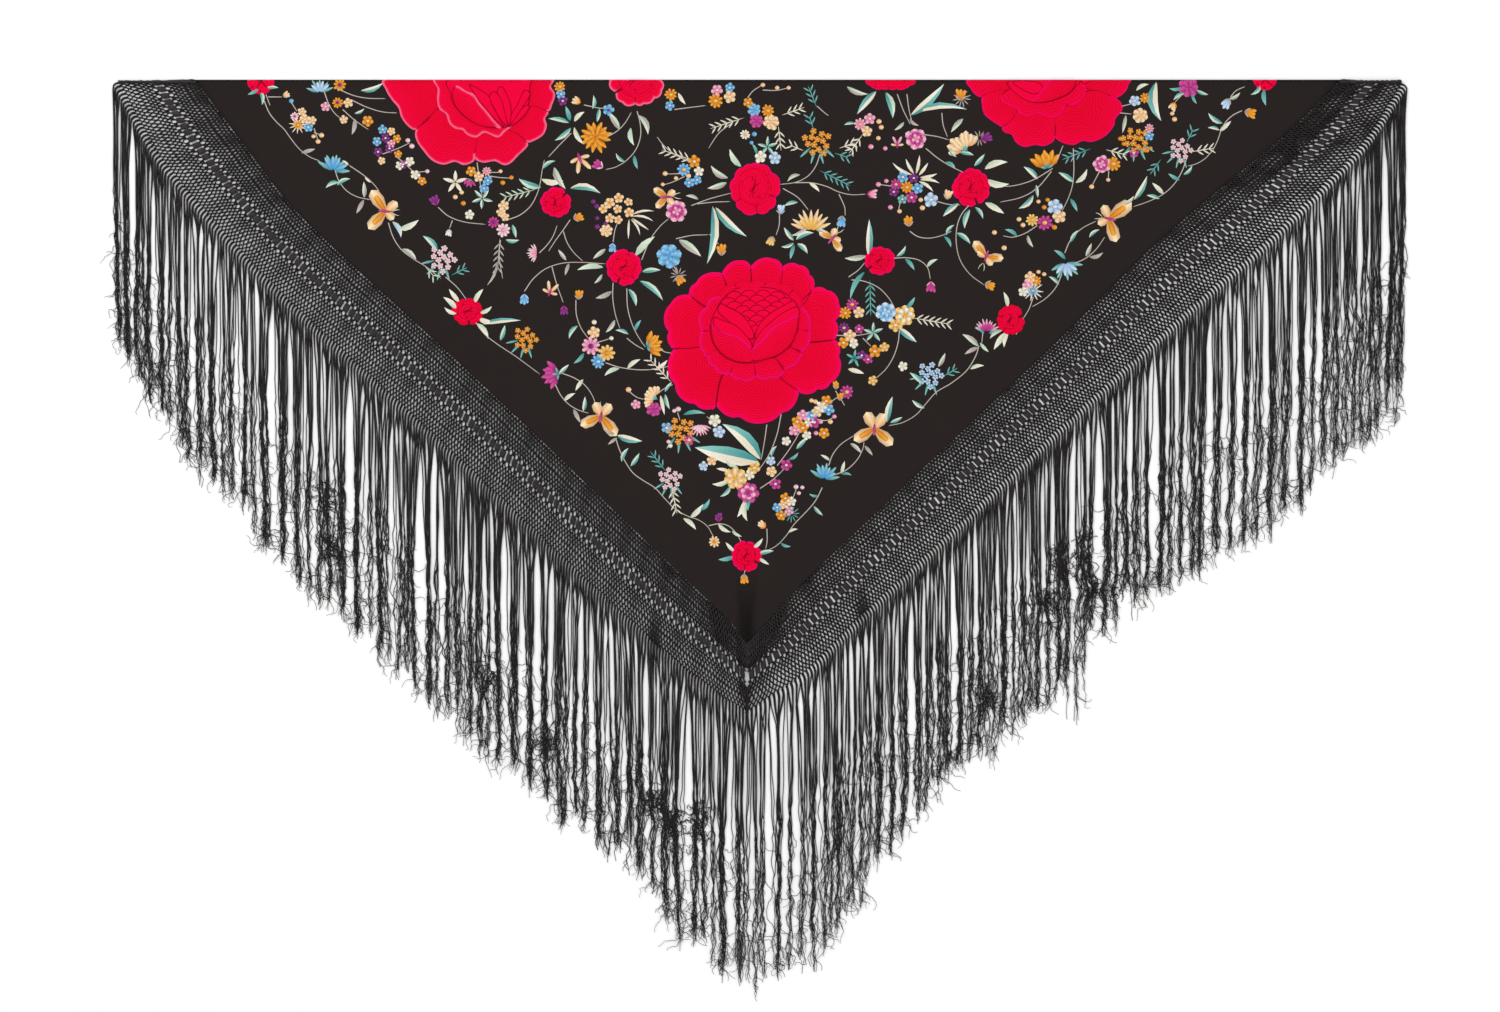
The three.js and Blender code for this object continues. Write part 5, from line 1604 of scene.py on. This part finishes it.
def dome_template(around, rings):
    """A low dome: a sphere seen from above, its last ring close to its edge."""
    bm = bmesh.new()
    bmesh.ops.create_uvsphere(bm, u_segments=around, v_segments=rings, radius=1.0)
    points, faces = template_arrays(bm)
    turn = np.arctan2(points[:, 1], points[:, 0])
    out = 1 - np.abs(np.arcsin(np.clip(points[:, 2], -1, 1))) / (math.pi / 2)
    out = np.interp(out, [0, 0.33, 0.67, 1], [0, 0.6, 0.94, 1])
    return (turn, out, np.sign(np.round(points[:, 2], 6))), faces


BROAD_DOME, SCALE_DOME, SMALL_DOME = dome_template(96, 6), dome_template(32, 6), dome_template(30, 6)


def closed_line(knots, count):
    """A closed line through given places in `count` even steps, and the place that each step is at."""
    ring = np.vstack([knots, knots[:1]])
    walked = np.concatenate([[0], np.cumsum(np.linalg.norm(np.diff(ring, axis=0), axis=1))])
    even = np.linspace(0, walked[-1], count, endpoint=False)
    u = np.interp(even, walked, np.linspace(0, 1, len(ring)))
    doubled = np.vstack([ring[-3:-1], ring, ring[1:3]])
    share = (2 + u * (len(ring) - 1)) / (len(doubled) - 1)
    return smooth_line(doubled, share, 0.5), np.interp(even, walked, range(len(ring)))


OUTLINE_STEPS = 96  # even steps round a petal's outline
LEVEL_HEIGHT = 0.00032  # how much higher each level of petals lies
PADDING, UNDERSIDE = 0.00035, 0.0002  # a petal's crown above its edge, and its underside below it
PETAL_LIFT = 0.0005
CROWN = 0.5  # cm from the edge to the full height of the padding


class Rose:
    """The petals of one rose, in centimetres across and down."""

    def __init__(self, dome):
        self.dome = dome
        self.points, self.edges, self.rims, self.maps = [], [], [], []

    def patch(self, knots, rim_knots, level, rim, tone="magenta", rise=1.0):
        """A petal with this outline: its first rim_knots places are its free rim, the rest covered sides."""
        (turn, out, half), faces = self.dome
        knots = np.array(knots, float)
        outline, place = closed_line(knots, OUTLINE_STEPS)
        free = place < rim_knots - 0.99
        middle = outline.mean(axis=0)
        j = (turn / (2 * math.pi) * OUTLINE_STEPS) % OUTLINE_STEPS
        low = j.astype(int)
        edge = outline[low] + (outline[(low + 1) % OUTLINE_STEPS] - outline[low]) * (j - low)[:, None]
        spot = middle + (edge - middle) * out[:, None]

        def gap(to):
            if not len(to):
                return np.full(len(spot), 1.0)
            return np.linalg.norm(spot[:, None, :] - to[None, :, :], axis=-1).min(axis=1)

        from_rim, from_side = gap(outline[free]), gap(outline[~free])
        x, y = spot[:, 0] / 100, np.minimum(FOLD_Y - spot[:, 1] / 100, FOLD_Y - FOLD_MARGIN)
        crown = np.clip(np.minimum(from_rim, from_side) / CROWN, 0, 1)
        above = PADDING * rise * np.sin(crown * math.pi / 2)
        pad = np.where(half > 0, above, np.where(half < 0, -UNDERSIDE, 0))
        z = TOP_Z + PETAL_LIFT + level * LEVEL_HEIGHT + lift(x, y) + pad
        self.points.append(np.stack([x, y, z], axis=-1))
        self.edges.append(np.column_stack([from_rim / 100, from_side / 100, np.full(len(x), rim / 1000)]))
        self.rims.append(np.tile([*ROSE_RIMS[tone], 1.0], (len(x), 1)))
        self.maps.append((spot - middle) / 100)

    def sector(self, centre, first, last, inner, reach, lobes, level, rim):
        """A petal between two angles. reach: its radius at its first side, its middle and its last side."""
        count = 6 * lobes + 1
        s = np.linspace(-1, 1, count)
        edge = np.where(s < 0, reach[0], reach[2])
        radius = reach[1] + (edge - reach[1]) * np.abs(s) ** 2.6
        radius = radius * (0.972 + 0.032 * np.abs(np.sin(lobes * math.pi * (s + 1) / 2)) ** 0.7)
        angle = np.radians(first + (last - first) * (s + 1) / 2)
        rim_line = np.column_stack([centre[0] + radius * np.cos(angle), centre[1] - radius * np.sin(angle)])
        back = np.radians(last + (first - last) * np.linspace(0.04, 0.96, 5))
        base = np.column_stack([centre[0] + inner * np.cos(back), centre[1] - inner * np.sin(back)])
        self.patch(np.vstack([rim_line, base]), count, level, rim)

    def scalloped(self, notches, base, level, rim, tone="magenta", bulge=0.2):
        """A petal whose rim swells between its notches, read clockwise. base: places on its covered sides."""
        rim_line = []
        for (x, down), (next_x, next_down) in zip(notches, notches[1:]):
            t = np.linspace(0, 1, 7)[:-1]
            swell = bulge * np.sin(t * math.pi) ** 0.7
            across, along = next_x - x, next_down - down
            rim_line += zip(x + across * t + along * swell, down + along * t - across * swell)
        rim_line.append(notches[-1])
        self.patch(rim_line + base, len(rim_line), level, rim, tone)

    def ground(self, outline, tone):
        """A flat patch under the petals, which shows between them."""
        self.patch(outline, 0, -0.9, 0.3, tone, 0.2)

    def made(self, name, replaces):
        template = (np.zeros((len(self.points[0]), 3)), self.dome[1])
        mesh = tiled(name, template, np.stack(self.points))
        sharpen(mesh, np.tile(self.dome[0][2] == 0, len(self.points)))
        corner = np.zeros(len(mesh.loops), int)
        mesh.loops.foreach_get("vertex_index", corner)
        edges, rims, maps = (np.vstack(v) for v in (self.edges, self.rims, self.maps))
        mesh.attributes.new("petal", "FLOAT_VECTOR", "POINT").data.foreach_set("vector", edges.ravel())
        paint(mesh, "POINT", rims)
        mesh.uv_layers.new(name="stitches").data.foreach_set("uv", maps[corner].ravel())
        bm = bmesh.new()
        bm.from_mesh(mesh)
        bmesh.ops.recalc_face_normals(bm, faces=bm.faces)
        bm.to_mesh(mesh)
        bm.free()
        return add_piece(name, mesh, ROSE, replaces)


# How far each petal of a small rose's bowl reaches, and its angle in degrees, from the outermost inwards.
BOWL_PETALS = [
    (0.66, 130),
    (0.68, 140),
    (0.60, 150),
    (0.55, 140),
    (0.46, 150),
    (0.38, 140),
    (0.29, 150),
    (0.20, 150),
]


def small_rose(name, x, down, wide, tall, turn=90, tone="magenta", petals_round=6, seed=1):
    """A rose of loose outer petals round a bowl of petals that wind inwards."""
    rose = Rose(SMALL_DOME)
    dice = np.random.default_rng(seed)

    def spot(angle, reach):
        way = math.radians(angle)
        return x + wide * reach * math.cos(way), down - tall * reach * math.sin(way)

    rose.ground([spot(angle, 0.66) for angle in range(0, 360, 30)], tone)
    step = 360 / petals_round
    starts = turn - step * np.arange(petals_round) + dice.uniform(-0.14, 0.14, petals_round) * step
    for k in dice.permutation(petals_round):
        last = starts[k] - step * 1.08
        middle = starts[k] - step * dice.uniform(0.4, 0.68)
        reach = dice.uniform(0.86, 1.0)
        notches = [spot(starts[k], 0.84), spot(middle, reach), spot(last, 0.84)]
        base = [spot(last + 4, 0.4), spot(starts[k] - 4, 0.4)]
        rose.scalloped(notches, base, 0.4 * (k % 3), 3.4, tone, 0.26)
    # The bowl sits a little off the middle; each petal of it starts inside the one before.
    x, down = spot(turn + 30, 0.06)
    first = turn + 150
    for k, (reach, wide_angle) in enumerate(BOWL_PETALS):
        ends = [spot(first, 0.05), spot(first + wide_angle, 0.05)]
        rim = zip((0, 0.33, 0.67, 1), (0.93 * reach, reach, reach, 0.90 * reach))
        notches = [spot(first + wide_angle * (1 - t), r) for t, r in rim]
        rose.scalloped(notches, ends, 1.8 + 0.45 * k, 1.0, "deep", 0.16)
        first += 128 + 9 * k
    return rose.made(name, [name])


# %% The small roses
roses = [
    small_rose("rose_fold_small", -21.6, 0.2, 4.9, 4.7, 60, "pink", 7, 3),
    small_rose("rose_upper_centre", -0.9, 19.1, 4.4, 4.8, 100, "magenta", 6, 5),
    small_rose("rose_left_inner", -23.8, 32.9, 3.2, 3.2, 70, "magenta", 6, 7),
    small_rose("rose_left_outer", -35.7, 21.5, 2.9, 2.6, 120, "magenta", 5, 9),
    small_rose("rose_right_inner", 20.9, 31.7, 2.8, 2.5, 80, "magenta", 5, 11),
    small_rose("rose_right_outer", 37.0, 18.8, 3.4, 3.4, 110, "magenta", 6, 13),
    small_rose("rose_border_left", -51.1, 40.6, 2.9, 2.4, 60, "red", 5, 15),
    small_rose("rose_border_right", 43.8, 42.1, 2.5, 2.7, 95, "red", 5, 17),
    small_rose("rose_point", -2.4, 83.3, 2.7, 2.8, 90, "magenta", 6, 19),
]
print("small roses:", len(roses))

# %% [markdown]
# The three large roses were laid out from readings of the real one. The centre rose has nine broad petals,
# a collar, and a bowl whose heart is filled with overlapping scales behind two curled front petals. The two
# at the fold show only their lower halves; the rest of each goes on round the fold.

# %% Readings of the large roses
# Each place was read off an enlarged view of its rose, in steps across and down from the view's corner, and
# a few were then moved. A view's corner and step are in centimetres.
CENTRE_CORNER, CENTRE_STEP = (-19.25, 28.0), 0.0291667


def read_off(corner, step, numbers):
    return [(corner[0] + step * x, corner[1] + step * down) for x, down in places_of(numbers)]


def centre_places(numbers):
    """Places on the centre rose, to the nearest millimetre."""
    return [(round(x, 1), round(down, 1)) for x, down in read_off(CENTRE_CORNER, CENTRE_STEP, numbers)]


# %% The centre rose
centre_rose, heart = Rose(BROAD_DOME), Rose(SCALE_DOME)
heart_x, heart_down = -1.1, 43.75
COLLAR_BASE = 0.55  # how far out from the heart the collar's petals start, as a share of their reach
# The ground under the petals, which shows red between them.
ring = np.radians(np.arange(0, 360, 15))
under = np.column_stack([-1.1 + 12.0 * np.cos(ring), 44.6 - 12.0 * np.sin(ring)])
centre_rose.ground(under, "red")
# Each outer petal: the notches of its free rim, then places on the sides that its neighbours cover.
OUTER_PETALS = """
rim 432 208 546 122 604 165; under 612 270 640 420 560 430 470 290;
rim 606 168 738 112 797 180; under 780 275 700 430 600 430 610 260;
rim 797 165 893 152 957 208 978 295; under 930 350 800 460 760 400 780 270;
rim 972 298 1062 300 1132 385 1112 482 1098 600; under 950 612 800 600 800 440 915 390;
rim 1104 600 1132 695 1080 862 1005 895 888 908; under 775 818 700 640 800 580 955 612;
rim 886 905 790 1038 536 1062 400 982; under 432 815 560 640 700 650 785 822;
rim 392 1000 268 985 150 868 150 655; under 285 640 480 600 560 700 432 812;
rim 142 650 112 552 124 382 246 335; under 310 390 440 470 440 600 280 648;
rim 238 332 272 262 432 206; under 465 285 520 400 440 450 330 400;
"""
outlines = [centre_places(numbers) for word, letters, numbers in words_of(OUTER_PETALS)]
for k, (notches, base) in enumerate(zip(outlines[::2], outlines[1::2])):
    centre_rose.scalloped(notches, base, (k % 2) * 0.8, 6.0, "magenta", 0.2)
# The collar: its rims are purple at the sides and below, and red at the top.
COLLAR = """
red 420 350 440 300 512 268, 508 268 600 252 694 262, 690 258 780 262 860 306, 858 302 910 408;
purple 318 545 338 400 432 342, 905 405 948 545, 345 695 318 548, 952 545 905 668,
478 800 385 765 350 690, 907 679 804 768, 632 815 545 835 480 792, 805 785 720 825 632 810;
"""
for k, (tone, letters, numbers) in enumerate(words_of(COLLAR)):
    notches = centre_places(numbers)
    base = []
    for x, down in (notches[-1], notches[0]):
        base.append((heart_x + COLLAR_BASE * (x - heart_x), heart_down + COLLAR_BASE * (down - heart_down)))
    centre_rose.scalloped(notches, base, 2.2 + (k % 2) * 0.4, 3.6, tone, 0.24)
BOWL = """
bowl 372 470 358 545 378 625 430 692 510 735 620 742 720 716 800 680 865 610 895 500 888 420
    850 345 760 295 640 280 520 290 430 360;
"""
for word, letters, numbers in words_of(BOWL):
    centre_rose.patch(centre_places(numbers), 0, 3.6, 0.3, "red", 0.3)
# The scales of the heart, row by row, each row in front of the one above it.
SCALES_IN_ROW = (4, 5, 4, 5, 4, 3, 2, 1)
SCALE = [(-1.35, 0.5), (-1.1, -0.15), (-0.5, -0.55), (0.5, -0.55), (1.1, -0.15), (1.35, 0.5), (0, 1.1)]
for row, count in enumerate(SCALES_IN_ROW):
    for k in range(count):
        x = -0.7 + 2.5 * (k - (count - 1) / 2) + 0.2 * (row % 2)
        down = 37.3 + 0.88 * row + 0.12 * abs(k - (count - 1) / 2) ** 2
        heart.patch([(x + a, down + b) for a, b in SCALE], 0, 4.2 + 0.3 * row, 0.3, "red", 0.15)


# The two folded petals at each side of the heart's notch, then the two front petals with their purple rims.
# A petal's first number is its level.
FRONT_RIM_KNOTS = 5
HEART_PETALS = """
folded 6.9 425 382 470 405 540 440 590 495 625 565 612 600 540 560 468 487 406 432,
7 862 362 800 395 720 440 660 500 628 568 640 600 722 528 876 432,
7.6 385 462 440 485 520 515 580 580 612 622 600 660 500 600 389 528,
7.7 885 400 810 430 740 480 670 540 622 612 620 650 700 590 879 480;
front 8.3 366 498 399 531 454 559 526 579 612 655 619 730 519 730 434 686 379 610,
8.8 888 455 796 492 724 535 681 590 612 655 618 728 708 713 790 679 862 600;
"""
for word, letters, (level, *numbers) in words_of(HEART_PETALS):
    if word == "front":
        heart.patch(centre_places(numbers), FRONT_RIM_KNOTS, level, 3.2, "purple", 1.0)
    else:
        heart.patch(centre_places(numbers), 0, level, 3.2, "red", 0.4)
roses += [centre_rose.made("rose_centre", ["rose_centre"]), heart.made("rose_centre_heart", ["rose_centre"])]

# %% A rose at the fold
FOLD_STEP = 0.025


def fold_rose(name, corner, tone, ground, text):
    """A rose from its chart. A petal gives its level, how many places its free rim has, and its places."""
    rose = Rose(BROAD_DOME)
    x, down, reach = ground
    under = np.column_stack([x + reach * np.cos(ring), down - reach * np.sin(ring)])
    rose.ground(read_off(corner, FOLD_STEP, under.ravel()), "red")
    for word, letters, (level, rim_knots, *numbers) in words_of(text):
        rim, rise = (3.4, 1.0) if rim_knots else (0.3, 0.3)
        rose.patch(read_off(corner, FOLD_STEP, numbers), rim_knots, level, rim, tone, rise)
    return rose.made(name, [name])


# %% The two roses at the fold
FOLD_LEFT = """
petal 0 7 75 40 78 120 120 190 165 245 185 310 230 370 285 398 360 330 440 260 450 150 430 40,
0.8 10 288 398 290 470 340 545 400 612 480 642 560 622 620 645 680 628 702 600 702 560 720 420 560 360 450
    250 360 335,
0.2 8 702 600 760 628 840 618 900 645 950 632 1010 572 1062 522 1068 488 1000 420 930 390 800 400 710 420
    700 520,
0.8 6 1066 485 1120 472 1180 432 1204 370 1192 318 1212 272 1100 230 1000 300 920 380 1000 430,
0 5 1214 270 1242 220 1262 150 1232 95 1242 40 1000 40 930 200 1050 300 1120 275,
2.4 14 415 40 440 110 436 180 450 250 498 290 520 350 560 388 615 400 645 432 710 452 770 418 860 452 910
    412 960 360 880 300 700 200 620 60,
3.6 0 540 40 530 150 560 235 640 318 750 374 880 388 1000 345 1070 240 1085 100 1050 40,
4.6 0 1090 150 1050 220 1010 285 950 375 950 300 1000 215 1045 120,
5 0 1085 230 1060 285 1010 335 940 380 985 310 1040 235,
5.4 0 890 95 935 170 955 250 945 372 905 300 880 220 855 130,
6 0 840 130 885 180 905 250 932 375 880 330 840 260 800 170,
6.6 0 660 80 750 125 800 165 830 240 905 378 850 335 775 250 715 175,
7.4 8 570 90 640 128 695 152 735 212 785 270 830 328 882 384 860 387 740 372 640 316 565 235 540 150;
"""
FOLD_RIGHT = """
petal 0 4 95 45 112 115 150 158 190 168 300 150 420 120 400 40,
0.8 6 190 165 188 230 205 290 250 330 300 362 330 375 400 330 440 230 360 120 250 130,
0.2 9 330 378 345 415 395 432 425 485 485 518 560 504 620 512 680 485 700 450 705 380 720 290 560 240 440
    220 390 320,
0.8 12 700 450 750 488 830 504 890 476 960 482 1050 442 1110 372 1122 320 1168 262 1162 210 1130 180 1100
    165 1000 120 880 140 860 200 740 240 695 320 702 390,
0 4 1130 175 1192 130 1212 85 1218 40 1000 40 900 90 1000 145 1070 170,
2.4 14 320 160 350 215 430 248 452 285 510 304 570 282 620 296 680 314 742 284 775 226 832 228 882 190 918
    120 900 75 860 60 700 150 560 170 420 100,
3.6 0 370 60 440 160 540 208 650 205 765 168 840 105 860 40 600 40,
4.6 0 400 60 470 120 560 150 620 110 560 60,
5.4 5 535 205 580 150 612 108 640 70 680 40 830 40 838 90 800 140 720 180 620 208;
"""
roses.append(fold_rose("rose_fold_left", (-67.375, -1.2), "pink", (690, 60, 515), FOLD_LEFT))
roses.append(fold_rose("rose_fold_right", (34.125, -1.2), "magenta", (660, -20, 455), FOLD_RIGHT))

# %% Slivers of roses that continue round the fold
rose = Rose(SMALL_DOME)
for x, down, r in ((-87.3, 0.2, 2.4), (88.3, -0.2, 2.1)):
    for first in (165, 215, 265, 315):
        reach = (0.93 * r, r, 0.93 * r)
        rose.sector((x, down), first, first + 52, 0.2 * r, reach, 3, (first // 50) % 2, 0.9)
    for first in (170, 240, 310):
        rose.sector((x, down), first, first + 72, 0.0, (0.58 * r, 0.64 * r, 0.58 * r), 2, 2, 0.7)
for k, (first, last) in enumerate([(27.3, 25.2), (25.4, 22.4), (22.6, 20.0), (20.2, 18.4)]):
    depths = (0.3 if k == 0 else 1.5, 1.6 if 0 < k < 3 else 1.0, 0.3 if k == 3 else 1.5)
    rim = list(zip((first, (first + last) / 2, last), depths))
    rose.scalloped(rim, [(last, 0.03), (first, 0.03)], 0.5 * (k % 2), 1.6, "magenta", 0.16)
roses.append(rose.made("rose_slivers", []))

# %% Clear the bench
for tool in list(scratch.objects):
    outline = tool.data
    bpy.data.objects.remove(tool)
    bpy.data.curves.remove(outline)
bpy.data.collections.remove(scratch)
print("bench cleared")
